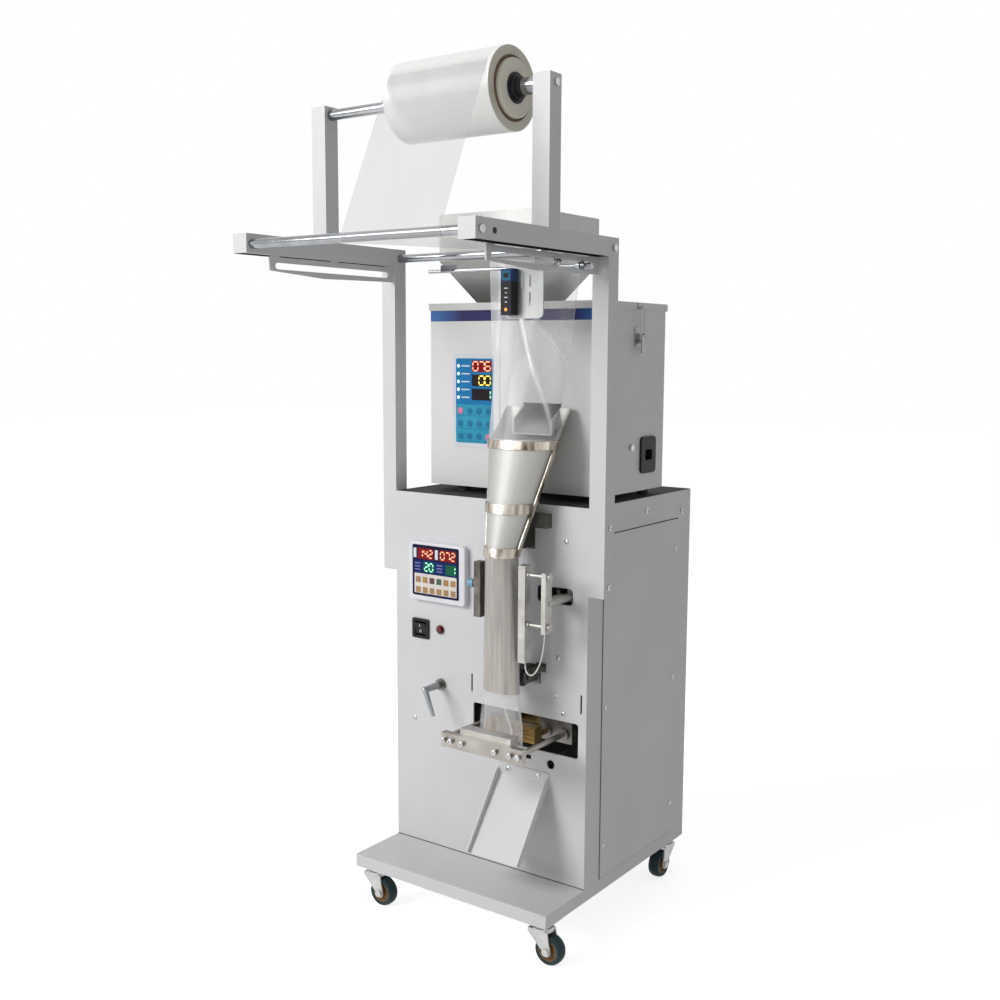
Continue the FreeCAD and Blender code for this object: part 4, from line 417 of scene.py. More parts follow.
FILM_EDGE = WoundFilm("edges_of_wound_film", "#dcd7c6", edge="#cbc6b3", glow=0.0)
GROOVE_BROWN = Plastic("brown_cardboard_core_edge", "#7d6a55", "#66543f", 0.7, 1.2, 0.05, 0.0, 0.2)
HUB_BLACK = Plastic("moulded_black_nylon", "#121213", "#0c0c0d", 0.42, 0.8, 0.03, 0.0, 0.2)
MAT_RUBBER = Plastic("dark_grey_rubber_sheet", "#3f3f40", "#383839", 0.7, 1.2, 0.05, 0.0, 0.12)
NATURAL_RUBBER = Plastic("moulded_black_rubber", "#232323", "#171717", 0.7, 1.2, 0.08)
TREAD = Plastic("green_black_tyre_rubber", "#34464a", "#263538", 0.62, 1.4, 0.08, 0.0, 0.2)
WHEEL_CORE = Plastic("brown_polypropylene_core", "#8d6c48", "#745637", 0.5, 1.0, 0.05, 0.0, 0.25)
RED_LENS = Plastic("red_acrylic_lens", "#6e0b16", "#4a060e", 0.18, 1.5, 0.01, 0.3, 0.25)
WIRE_SLEEVE = Plastic("white_silicone_sleeving", "#ecebe6", "#dddcd5", 0.5, 1.0, 0.04)
BLUE_SLEEVE = Plastic("light_blue_silicone_sleeving", "#8fb9cf", "#6fa0bb", 0.4, 1.0, 0.02)
# Painted shade: black for the unlit inside behind the slots and for the shaded gaps round covers, base and arms.
SHADE_BLACK = Plastic("painted_shade_black", "#0a0a0b", "#060606", 0.8, 1.2, 0.0, 0.0, 0.02)
OVERLAY_NAVY = Plastic("navy_membrane_overlay", "#10103f", "#0a0a30", 0.3, 0.9, 0.01, 0.0, 0.1)
OVERLAY_MARINE = Plastic("marine_membrane_overlay", "#12306e", "#0e2660", 0.3, 0.9, 0.01, 0.0, 0.1)
OVERLAY_PALE = Plastic("pale_grey_membrane_edge", "#d9dde2", "#cfd4da", 0.32, 0.9, 0.01)
OVERLAY_BLUE = Plastic("blue_membrane_overlay", "#177fb9", "#1272ab", 0.32, 0.9, 0.01, 0.0, 0.15)
OVERLAY_TEAL = Plastic("teal_membrane_overlay", "#3aa0bd", "#2b8fb0", 0.32, 0.9, 0.01, 0.0, 0.15)
KEYPAD_WHITE = Plastic("white_membrane_keypad", "#e9e4dd", "#dcd5cd", 0.34, 0.9, 0.01)
KEY_TAN = Plastic("tan_membrane_key", "#b28a58", "#9c7546", 0.36, 0.9, 0.01)
KEY_RED = Plastic("dark_red_membrane_key", "#6b1622", "#4f0e18", 0.36, 0.9, 0.01)
KEY_GREEN = Plastic("dark_green_membrane_key", "#17603f", "#0f4a30", 0.36, 0.9, 0.01)
KEY_PINK = Plastic("pink_membrane_key", "#e37ca6", "#cf6693", 0.36, 0.9, 0.01)
KEY_BLUE = Plastic("deep_blue_membrane_key", "#217ba6", "#1a6b94", 0.36, 0.9, 0.01, 0.0, 0.2)
WINDOW_RED = Plastic("red_tinted_window", "#94101a", "#7a0a14", 0.14, 2.0, 0.0, 0.0, 0.12)
WINDOW_GREEN = Plastic("green_tinted_window", "#0a6446", "#085038", 0.14, 2.0, 0.0, 0.0, 0.12)
WINDOW_DARK = Plastic("smoked_tinted_window", "#33262a", "#221a1d", 0.14, 2.0, 0.0, 0.0, 0.12)
GLOW_RED = Glow("lit_red_segments", "#ffb48c", 0.95)
GLOW_GREEN = Glow("lit_green_segments", "#9dffd6", 0.9)
GLOW_YELLOW = Glow("lit_yellow_segments", "#ffe35a", 1.1)
GLOW_WHITE = Glow("lit_white_lamp", "#dff2ff", 0.9)
GLOW_ORANGE = Glow("lit_orange_lamp", "#ff9a3c", 1.0)
INK_WHITE = Plastic("white_screen_print", "#e8edf2", "#d8dfe6", 0.34, 0.9, 0.0)
INK_LILAC = Plastic("lilac_screen_print", "#8f8cc0", "#7d7aae", 0.34, 0.9, 0.0, 0.0, 0.15)
HEADER_BAND = InkFade("blue_violet_header_band", "#3f6fb0", 0, -159.0, 192.0,
                      ((0.05, "#3f6fb0"), (0.2, "#2a2260"), (0.85, "#2a2260"), (0.95, "#3f6fb0")))
SENSOR_SHELL = InkFade("two_colour_sensor_shell", "#17181c", 2, 1034.0, 1122.0, ((0.5, "#26406a"),), 0.36, True)
# Painted glow: the wound film keeps the default faint emission, which stands for light scattered through it.
ROLL_FILM = WoundFilm("wound_milky_film", "#fafaf8")
MACHINE_FILM = ClearFilm("clear_polyethylene_film", "#f6f7f8")
WEB_FILM = ClearFilm("smooth_polyethylene_web", "#c2c3c4", 0.04, 0.5, 0.1, 0.4)

NODE_FINISHES: dict[Finish, tuple[str, ...]] = {
    CABINET_GREY: ("base_platform", "cabinet_shell", "front_panel", "cabinet_covers", "stand_left", "stand_right",
                   "slot_plates", "control_box"),
    WEIGHER_GREY: ("weigher_body", "weigher_lid"),
    CHUTE_WHITE: ("output_chute",),
    CHROME: ("stand_bars", "sensor_rod", "release_lever"),
    JAW_PLATE_STEEL: ("front_jaw_plate",),
    ZINC: ("caster_plates", "sensor_bracket", "latch_loop_left", "latch_loop_right"),
    GUIDE_STEEL: ("panel_brackets",),
    FORK_ZINC: ("caster_fork_front_left", "caster_fork_front_right", "caster_fork_rear_left",
                "caster_fork_rear_right"),
    SHEET_STEEL: ("hopper", "feeder_trough", "weigh_bucket", "bucket_flap", "latch_bases", "latch_lever_left",
                  "latch_lever_right"),
    SPOUT_STEEL: ("weigher_spout",),
    FUNNEL_STEEL: ("former_funnel",),
    TUBE_STEEL: ("former_tube",),
    HOOP_STEEL: ("former_hoops",),
    HEATER_STEEL: ("seal_bar_left",),
    HEATER_ALUMINIUM: ("seal_bar_right", "front_jaw_block"),
    HEATER_BRASS: ("rear_jaw_block",),
    CAST_ALUMINIUM: ("feeder_drive", "gearmotors"),
    BLACK_ABS: ("power_inlet", "switch_housing", "rocker"),
    WHITE_ABS: ("control_panel",),
    NATURAL_RUBBER: ("weigher_feet", "pull_roller"),
    RED_LENS: ("pilot_lamp",),
    OVERLAY_PALE: ("weigher_keypad",),
    SENSOR_SHELL: ("photo_sensor",),
    ROLL_FILM: ("roll_film",),
}


def dress_cad_nodes() -> None:
    """Give every CAD node that stays in view its finish."""
    for finish, nodes in NODE_FINISHES.items():
        material = finish.material()
        for name in nodes:
            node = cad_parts[name]
            if not node.material_slots:
                node.data.materials.append(material)
            for slot in node.material_slots:
                slot.material = material
        LOG.info("%s on %s", finish.name, ", ".join(nodes))


class Shape:
    """A mesh under construction, with a finish for each face."""

    def __init__(self, finishes: list[Finish]) -> None:
        """Start an empty shape.

        Args:
            finishes: The finishes that its faces may have.
        """
        self.mesh = bmesh.new()
        self.finishes = finishes

    def point(self, x: float, y: float, z: float) -> bmesh.types.BMVert:
        """Add a corner given in millimetres."""
        return self.mesh.verts.new((x * MM, y * MM, z * MM))

    def face(self, corners: list[bmesh.types.BMVert], finish: Finish) -> None:
        """Add a face between corners."""
        made = self.mesh.faces.new(corners)
        made.material_index = self.finishes.index(finish)

    def plate(self, outline: list[tuple[float, float]], back: float, front: float, finish: Finish) -> None:
        """Flat plate that faces the front of the machine.

        Args:
            outline: Corners as (x, z).
            back: Y of its back.
            front: Y of its face, which is the smaller number.
            finish: Its finish.
        """
        near = [self.point(x, front, z) for x, z in outline]
        far = [self.point(x, back, z) for x, z in outline]
        self.face(near, finish)
        self.face(far[::-1], finish)
        for index, corner in enumerate(near):
            follower = (index + 1) % len(near)
            self.face([corner, far[index], far[follower], near[follower]], finish)

    def stack(self, outlines: list[tuple[list[tuple[float, float]], float]], finish: Finish) -> None:
        """Closed body with level outlines one above the other.

        Args:
            outlines: From the lowest up, corners as (x, y) and the height of each.
            finish: Its finish.
        """
        levels = [[self.point(x, y, z) for x, y in outline] for outline, z in outlines]
        for low, high in zip(levels, levels[1:]):
            for step in range(len(low)):
                nearby = (step + 1) % len(low)
                self.face([low[step], low[nearby], high[nearby], high[step]], finish)
        self.face(levels[0][::-1], finish)
        self.face(levels[-1], finish)

    def lathe(self, profile: list[tuple[float, float, Finish]], place: Matrix, steps: int = 64) -> None:
        """Closed ring turned round the X axis of a place.

        Args:
            profile: Corners of the cross section as (along, radius, finish of the band that follows).
            place: Matrix from millimetres on the axis to millimetres of the machine.
            steps: Facets round the ring.
        """
        rings = []
        for along, radius, _ in profile:
            ring = []
            for step in range(steps):
                angle = 2 * math.pi * step / steps
                spot = place @ Vector((along, radius * math.cos(angle), radius * math.sin(angle)))
                ring.append(self.point(spot.x, spot.y, spot.z))
            rings.append(ring)
        for index, (_, _, finish) in enumerate(profile):
            ring = rings[index]
            follower = rings[(index + 1) % len(rings)]
            for step in range(steps):
                nearby = (step + 1) % steps
                self.face([ring[step], ring[nearby], follower[nearby], follower[step]], finish)

    def piece(self, name: str, smooth: bool = False) -> bpy.types.Object:
        """Finish the shape as an object with outward faces.

        Args:
            name: Name of the piece.
            smooth: Whether its faces shade as one curve.

        Returns:
            The object, which sits at the origin.
        """
        bmesh.ops.recalc_face_normals(self.mesh, faces=self.mesh.faces)
        data = bpy.data.meshes.new(name)
        self.mesh.to_mesh(data)
        self.mesh.free()
        for finish in self.finishes:
            data.materials.append(finish.material())
        made = bpy.data.objects.new(name, data)
        bpy.context.scene.collection.objects.link(made)
        if smooth:
            data.shade_smooth()
            data.set_sharp_from_angle(angle=math.radians(35.0))
        return made


def rounded(x0: float, x1: float, z0: float, z1: float, radius: float) -> list[tuple[float, float]]:
    """Corners of a rectangle with round corners.

    Args:
        x0: Left side.
        x1: Right side.
        z0: Bottom.
        z1: Top.
        radius: Corner radius.

    Returns:
        Points as (x, z), in order.
    """
    outline = []
    for centre_x, centre_z, start in ((x1 - radius, z1 - radius, 0), (x0 + radius, z1 - radius, 90),
                                      (x0 + radius, z0 + radius, 180), (x1 - radius, z0 + radius, 270)):
        for step in range(5):
            angle = math.radians(start + 22.5 * step)
            outline.append((centre_x + radius * math.cos(angle), centre_z + radius * math.sin(angle)))
    return outline


SEGMENTS_OF = {"0": "abcdef", "1": "bc", "2": "abged", "3": "abgcd", "4": "fgbc", "5": "afgcd", "6": "afgedc",
               "7": "abc", "8": "abcdefg", "9": "abcdfg"}


@dataclass
class Display:
    """Row of seven-segment digits behind a tinted window."""

    x0: float
    x1: float
    z0: float
    z1: float
    digits: str
    window: Finish
    glow: Finish
    inset: float = 2.2
    stroke: float = 1.5

    def build(self, shape: Shape, back: float) -> None:
        """Add the window and its lit segments to a shape.

        Args:
            shape: Shape of the panel that carries it.
            back: Y of the surface that it lies on.
        """
        shape.plate(rounded(self.x0, self.x1, self.z0, self.z1, 1.0), back, back - 0.25, self.window)
        pitch = (self.x1 - self.x0 - self.inset) / len(self.digits)
        for place, digit in enumerate(self.digits):
            left = self.x0 + self.inset + place * pitch
            right = left + pitch - self.inset
            for segment in SEGMENTS_OF.get(digit, ""):
                shape.plate(self.bar(segment, left, right), back - 0.25, back - 0.4, self.glow)

    def bar(self, segment: str, left: float, right: float) -> list[tuple[float, float]]:
        """Outline of one segment, from a at the top round to f, and g in the middle.

        Args:
            segment: Letter of the segment.
            left: Left side of the digit.
            right: Right side of the digit.

        Returns:
            Its six corners as (x, z).
        """
        low = self.z0 + self.inset
        high = self.z1 - self.inset
        middle = (low + high) / 2
        half = self.stroke / 2
        if segment in "agd":
            z = {"a": high, "g": middle, "d": low}[segment]
            return [(left + half, z), (left + 2 * half, z + half), (right - 2 * half, z + half), (right - half, z),
                    (right - 2 * half, z - half), (left + 2 * half, z - half)]
        x = right if segment in "bc" else left
        z0, z1 = (middle, high) if segment in "bf" else (low, middle)
        return [(x, z0 + half), (x + half, z0 + 2 * half), (x + half, z1 - 2 * half), (x, z1 - half),
                (x - half, z1 - 2 * half), (x - half, z0 + 2 * half)]


class Facing(Enum):
    """Which way a head looks, as the turn of its own axis from straight up."""

    FRONT = (90.0, 0.0)
    RIGHT = (0.0, 90.0)
    LEFT = (0.0, -90.0)


@dataclass(frozen=True)
class Head:
    """One raised head: a screw, a bolt, a key or a small lamp."""

    x: float
    y: float
    z: float
    facing: Facing
    radius: float
    height: float
    roll: float = 0.0


@dataclass
class HeadSet:
    """Heads of one kind, made by Geometry Nodes on a cloud of points."""

    name: str
    finish: Finish
    heads: list[Head]
    sides: int = 24
    crown: float = 0.35
    recess: float = 0.0

    def tree(self) -> bpy.types.NodeTree:
        """Build the node tree on first use; every set shares it.

        Returns:
            The geometry tree, with inputs named Sides, Crown, Recess and Finish.
        """
        tree = bpy.data.node_groups.get("raised_heads")
        if tree is not None:
            return tree
        tree = bpy.data.node_groups.new("raised_heads", "GeometryNodeTree")
        inputs = (("Points", "NodeSocketGeometry"), ("Sides", "NodeSocketInt"), ("Crown", "NodeSocketFloat"),
                  ("Recess", "NodeSocketFloat"), ("Finish", "NodeSocketMaterial"))
        for name, kind in inputs:
            tree.interface.new_socket(name=name, in_out="INPUT", socket_type=kind)
        tree.interface.new_socket(name="Heads", in_out="OUTPUT", socket_type="NodeSocketGeometry")
        given = add_node(tree, "NodeGroupInput").outputs
        drum = add_node(tree, "GeometryNodeMeshCylinder", {"Fill Segments": 3, "Radius": 1.0, "Depth": 1.0},
                        {"Vertices": given["Sides"]})
        place = add_node(tree, "GeometryNodeInputPosition").outputs[0]
        axes = add_node(tree, "ShaderNodeSeparateXYZ", links={0: place}).outputs
        flat = add_node(tree, "ShaderNodeVectorMath", {1: (1.0, 1.0, 0.0)}, {0: place}, operation="MULTIPLY")
        reach = add_node(tree, "ShaderNodeVectorMath", links={0: flat.outputs[0], 1: flat.outputs[0]},
                         operation="DOT_PRODUCT").outputs["Value"]
        top = add_node(tree, "ShaderNodeMath", {1: 0.0}, {0: axes[2]}, operation="GREATER_THAN").outputs[0]
        drop = add_node(tree, "ShaderNodeMath", links={0: reach, 1: given["Crown"]}, operation="MULTIPLY").outputs[0]
        sink = add_node(tree, "ShaderNodeMath", links={0: drop, 1: top}, operation="MULTIPLY").outputs[0]
        lower = add_node(tree, "ShaderNodeMath", {1: -1.0}, {0: sink}, operation="MULTIPLY").outputs[0]
        shift = add_node(tree, "ShaderNodeCombineXYZ", links={"Z": lower}).outputs[0]
        domed = add_node(tree, "GeometryNodeSetPosition", links={"Geometry": drum.outputs["Mesh"], "Offset": shift})
        raised = add_node(tree, "GeometryNodeTransform", {"Translation": (0.0, 0.0, 0.5)},
                          {"Geometry": domed.outputs[0]}).outputs[0]
        bars = []
        for order in ((0, 1), (1, 0)):
            long_side = add_node(tree, "ShaderNodeCombineXYZ", {order[0]: 1.15, 2: 0.9},
                                 {order[1]: given["Recess"]}).outputs[0]
            bar = add_node(tree, "GeometryNodeMeshCube", links={"Size": long_side}).outputs["Mesh"]
            bars.append(add_node(tree, "GeometryNodeTransform", {"Translation": (0.0, 0.0, 1.0)},
                                 {"Geometry": bar}).outputs[0])
        cut = add_node(tree, "GeometryNodeMeshBoolean", links={"Mesh 1": raised}, operation="DIFFERENCE")
        for bar in bars:
            tree.links.new(bar, cut.inputs["Mesh 2"])
        has_recess = add_node(tree, "FunctionNodeCompare", {1: 0.01}, {0: given["Recess"]}, data_type="FLOAT",
                              operation="GREATER_THAN").outputs[0]
        head = add_node(tree, "GeometryNodeSwitch",
                        links={"Switch": has_recess, "False": raised, "True": cut.outputs["Mesh"]},
                        input_type="GEOMETRY").outputs[0]
        turn = add_node(tree, "GeometryNodeInputNamedAttribute", {"Name": "turn"}, data_type="FLOAT_VECTOR")
        rotation = add_node(tree, "FunctionNodeEulerToRotation", links={0: turn.outputs[0]}).outputs[0]
        size = add_node(tree, "GeometryNodeInputNamedAttribute", {"Name": "size"}, data_type="FLOAT_VECTOR")
        copies = add_node(tree, "GeometryNodeInstanceOnPoints",
                          links={"Points": given["Points"], "Instance": head, "Rotation": rotation,
                                 "Scale": size.outputs[0]}).outputs[0]
        solid = add_node(tree, "GeometryNodeRealizeInstances", links={0: copies}).outputs[0]
        coated = add_node(tree, "GeometryNodeSetMaterial",
                          links={"Geometry": solid, "Material": given["Finish"]}).outputs[0]
        add_node(tree, "NodeGroupOutput", links={"Heads": coated})
        return tree

    def build(self, body: str, slot: str) -> bpy.types.Object:
        """Make the heads as one plain mesh that rides on a body.

        Args:
            body: CAD body that carries the heads.
            slot: Material slot of the record that they follow; not used.

        Returns:
            The finished piece.
        """
        points = bpy.data.meshes.new(self.name)
        points.from_pydata([(h.x * MM, h.y * MM, h.z * MM) for h in self.heads], [], [])
        turns = points.attributes.new("turn", "FLOAT_VECTOR", "POINT")
        sizes = points.attributes.new("size", "FLOAT_VECTOR", "POINT")
        for index, head in enumerate(self.heads):
            about_x, about_y = head.facing.value
            leaned = Euler((math.radians(about_x), math.radians(about_y), 0.0)).to_matrix()
            spun = leaned @ Euler((0.0, 0.0, math.radians(head.roll))).to_matrix()
            turns.data[index].vector = spun.to_euler()
            sizes.data[index].vector = (head.radius * MM, head.radius * MM, head.height * MM)
        made = bpy.data.objects.new(self.name, points)
        bpy.context.scene.collection.objects.link(made)
        modifier = made.modifiers.new("heads", "NODES")
        modifier.node_group = self.tree()
        values = {"Sides": self.sides, "Crown": self.crown, "Recess": self.recess, "Finish": self.finish.material()}
        for item in modifier.node_group.interface.items_tree:
            if item.in_out == "INPUT" and item.name in values:
                modifier[item.identifier] = values[item.name]
        graph = bpy.context.evaluated_depsgraph_get()
        result = bpy.data.meshes.new_from_object(made.evaluated_get(graph), preserve_all_data_layers=False,
                                                 depsgraph=graph)
        made.modifiers.clear()
        made.data = result
        if not result.materials:
            result.materials.append(self.finish.material())
        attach(made, body)
        LOG.info("%s with %d heads on %s", self.name, len(self.heads), body)
        return made


@dataclass
class Fasteners:
    """Screws, bolts, plugs and the wing nut that hold the sheets, the bars and the sensor rod."""

    stand_face: float = 229.0
    cover_face: float = 201.5
    side_face: float = 200.0
    bars: tuple[tuple[float, float], ...] = ((-331.5, 1128.5), (8.0, 1128.5), (-158.0, 1342.5))
    leg_screws: tuple[float, ...] = (601.0, 696.0)
    cover_screw_ys: tuple[float, ...] = (50.5, 286.5)
    cover_screw_zs: tuple[float, ...] = (152.0, 389.0, 624.0)
    side_bolts: tuple[tuple[float, float], ...] = ((180.5, 703.0), (309.5, 689.0))
    panel_screws: tuple[tuple[float, float], ...] = ((158.5, 669.0), (144.8, 477.0), (141.6, 412.0),
                                                     (156.0, 384.5), (-159.4, 320.0))
    chute_screws: tuple[tuple[float, float], ...] = ((48.0, 270.0), (108.0, 270.0))
    jaw_bolt_xs: tuple[float, ...] = (4.4, 18.8, 41.2, 106.8, 135.6, 151.6)
    jaw_bolt_face: float = -131.3
    jaw_bolt_z: float = 344.25
    wing_nut: tuple[float, float, float] = (208.0, -120.5, 1099.5)

    def build(self) -> None:
        """Make all of them; of the CAD model's plain ones, only the panel screws are hidden."""
        heads = []
        hexagons = []
        plugs = []
        for side, facing in ((-1, Facing.LEFT), (1, Facing.RIGHT)):
            face = side * self.stand_face
            hexagons += [Head(face, y, z, facing, 6.2, 4.2, 11.0 * z) for y, z in self.bars]
            heads += [Head(face, 8.0, z, facing, 4.7, 2.9, 1.3 * z) for z in self.leg_screws]
            for y in self.cover_screw_ys:
                heads += [Head(side * self.cover_face, y, z, facing, 3.8, 2.1, z + y) for z in self.cover_screw_zs]
            heads += [Head(side * self.side_face, y, z, facing, 5.2, 3.0, 1.7 * z) for y, z in self.side_bolts]
            plugs.append(Head(face - side * 0.6, -300.5, 1128.5, facing, 4.3, 1.4))
        heads += [Head(x, FRONT_Y, z, Facing.FRONT, 3.8, 2.3, 3.1 * z) for x, z in self.panel_screws]
        heads += [Head(x, FRONT_Y - 2.0, z, Facing.FRONT, 3.8, 2.3, 2.3 * x) for x, z in self.chute_screws]
        hexagons.append(Head(192.0, 134.0, 813.0, Facing.RIGHT, 6.0, 5.5, 20.0))
        screws = HeadSet("panel_screw_heads", BOLT_ZINC, heads, 24, 0.45, 0.22).build(ROOT, "zinc_steel")
        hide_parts("panel_screws")
        HeadSet("bar_bolt_heads", BOLT_ZINC, hexagons, 6, 0.12, 0.0).build(ROOT, "zinc_steel")
        HeadSet("arm_tube_plugs", BLACK_ABS, plugs, 24, 0.2, 0.0).build(ROOT, "zinc_steel")
        bolts = [Head(x, self.jaw_bolt_face, self.jaw_bolt_z, Facing.FRONT, 4.5, 2.4, 7.0 * x)
                 for x in self.jaw_bolt_xs]
        HeadSet("jaw_plate_bolt_heads", BOLT_ZINC, bolts, 24, 0.45, 0.24).build("front_jaw", "zinc_steel")
        self.wing()

    def wing(self) -> None:
        """Washer, hub, stud and two swept wings of the nut that locks the sensor rod's strip."""
        x, y, z = self.wing_nut
        place = Matrix.Translation((x, y, z))
        shape = Shape([ZINC])
        profile = [(0.0, 3.2), (0.0, 8.0), (1.5, 8.0), (1.5, 5.6), (6.5, 4.6), (8.0, 3.6), (8.0, 3.2)]
        shape.lathe([(a, r, ZINC) for a, r in profile], place, 32)
        stud = [(0.0, 0.2), (0.0, 2.9), (10.2, 2.9), (11.0, 2.3), (11.0, 0.2)]
        shape.lathe([(a, r, ZINC) for a, r in stud], place, 24)
        for side in (-1, 1):
            rows = []
            for step in range(7):
                share = step / 6.0
                reach = side * (4.0 + 10.0 * share)
                half = 1.0 + 2.6 * math.sin(math.pi * min(1.0, 0.25 + 0.75 * share))
                lift = 2.5 + 3.0 * share * share
                rows.append([shape.point(x + lift + dx, y + reach, z + dz)
                             for dx, dz in ((0.0, -half), (0.0, half), (2.2, half), (2.2, -half))])
            for low, high in zip(rows, rows[1:]):
                for corner in range(4):
                    nearby = (corner + 1) % 4
                    shape.face([low[corner], low[nearby], high[nearby], high[corner]], ZINC)
            shape.face(rows[0][::-1], ZINC)
            shape.face(rows[-1], ZINC)
        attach(shape.piece("sensor_rod_wing_nut", True), ROOT)


@dataclass
class PanelDetails:
    """What shows in the openings of the front: black plates of painted shade behind the slots and in the seam over the
    base, and painted shadow lines round the covers and under the arms.
    """

    slot_xs: tuple[float, float] = (-31.0, 190.0)
    slot_bottom: float = 390.0
    slot_top: float = 422.0
    slot_half: float = 1.45
    base_top: float = 94.0
    half_width: float = 200.0
    cabinet_top: float = 726.0
    rear_y: float = 342.5
    sleeve_place: tuple[float, float, float] = (12.6, -71.5, 596.5)
    arm_middle: float = 218.7
    gap_half: float = 9.7
    arm_front_y: float = -342.5
    arm_bottom: float = 1115.0
    cover_low: tuple[float, float] = (41.5, 96.0)
    cover_high: tuple[float, float] = (295.5, 677.0)

    def build(self) -> None:
        """Make the painted shade behind the slots and in the gaps at foot, covers and arms, then the top mat and the
        sleeve.
        """
        shape = Shape([SHADE_BLACK])
        # Painted shade: black plates behind the vent slots stand for the unlit inside of the cabinet.
        for x in self.slot_xs:
            shape.plate(rounded(x - self.slot_half, x + self.slot_half, self.slot_bottom + 0.1, self.slot_top - 0.1, 1.4),
                        FRONT_Y + 1.1, FRONT_Y + 0.3, SHADE_BLACK)
        # Painted shadow: a thin black strip in the seam between the cabinet and the base.
        shape.plate(rounded(-self.half_width, self.half_width, self.base_top + 0.02, self.base_top + 1.2, 0.5),
                    FRONT_Y + 0.2, FRONT_Y - 0.25, SHADE_BLACK)
        for side in (-1.0, 1.0):
            self.cover_seam(shape, side)
            # Painted shade: a thin black strip on the underside of each arm stands for the shade there.
            middle = side * self.arm_middle
            outline = rounded(middle - self.gap_half, middle + self.gap_half, self.arm_front_y + 1.5, FRONT_Y - 1.5, 1.0)
            shape.stack([(outline, self.arm_bottom - 0.5), (outline, self.arm_bottom - 0.05)], SHADE_BLACK)
        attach(shape.piece("panel_shadow_gaps"), ROOT)
        self.mat()
        self.sleeve()
        LOG.info("shadow gaps, top mat and pin sleeve of the front")

    def cover_seam(self, shape: Shape, side: float) -> None:
        """Dark line of shadow, 1.2 mm wide, round the cover on one side of the cabinet.

        Args:
            shape: Mesh that gets the line.
            side: 1.0 for the right side and -1.0 for the left.
        """
        levels = []
        for margin, lift in ((0.15, 0.05), (1.4, 0.05), (1.4, 0.3), (0.15, 0.3)):
            outline = rounded(self.cover_low[0] - margin, self.cover_high[0] + margin, self.cover_low[1] - margin,
                              self.cover_high[1] + margin, 2.0)
            levels.append([shape.point(side * (self.half_width + lift), y, z) for y, z in outline])
        for low, high in zip(levels, levels[1:] + levels[:1]):
            for step in range(len(low)):
                nearby = (step + 1) % len(low)
                ring = [low[step], low[nearby], high[nearby], high[step]]
                shape.face(ring if side < 0.0 else ring[::-1], SHADE_BLACK)

    def mat(self) -> None:
        """Thin dark rubber sheet, with round corners and a bevelled rim, that the weigher stands on."""
        shape = Shape([MAT_RUBBER])
        levels = []
        for inset, lift in ((0.6, 0.01), (0.6, 0.35), (1.0, 0.6)):
            outline = rounded(-self.half_width + inset, self.half_width - inset, FRONT_Y + inset + 0.8,
                              self.rear_y - inset, 3.0)
            levels.append((outline, self.cabinet_top + lift))
        shape.stack(levels, MAT_RUBBER)
        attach(shape.piece("cabinet_top_mat"), ROOT)

    def sleeve(self) -> None:
        """Light blue sleeve pushed over the pin of the left seal bar."""
        shape = Shape([BLUE_SLEEVE])
        profile = [(0.0, 0.2), (0.0, 6.4), (0.9, 7.3), (4.6, 7.3), (5.0, 6.9), (5.6, 6.9), (6.0, 7.3), (9.8, 7.3),
                   (10.6, 6.4), (10.6, 5.6), (0.7, 5.6), (0.7, 0.2)]
        shape.lathe([(a, r, BLUE_SLEEVE) for a, r in profile], Matrix.Translation(self.sleeve_place), 40)
        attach(shape.piece("seal_pin_sleeve", True), ROOT)


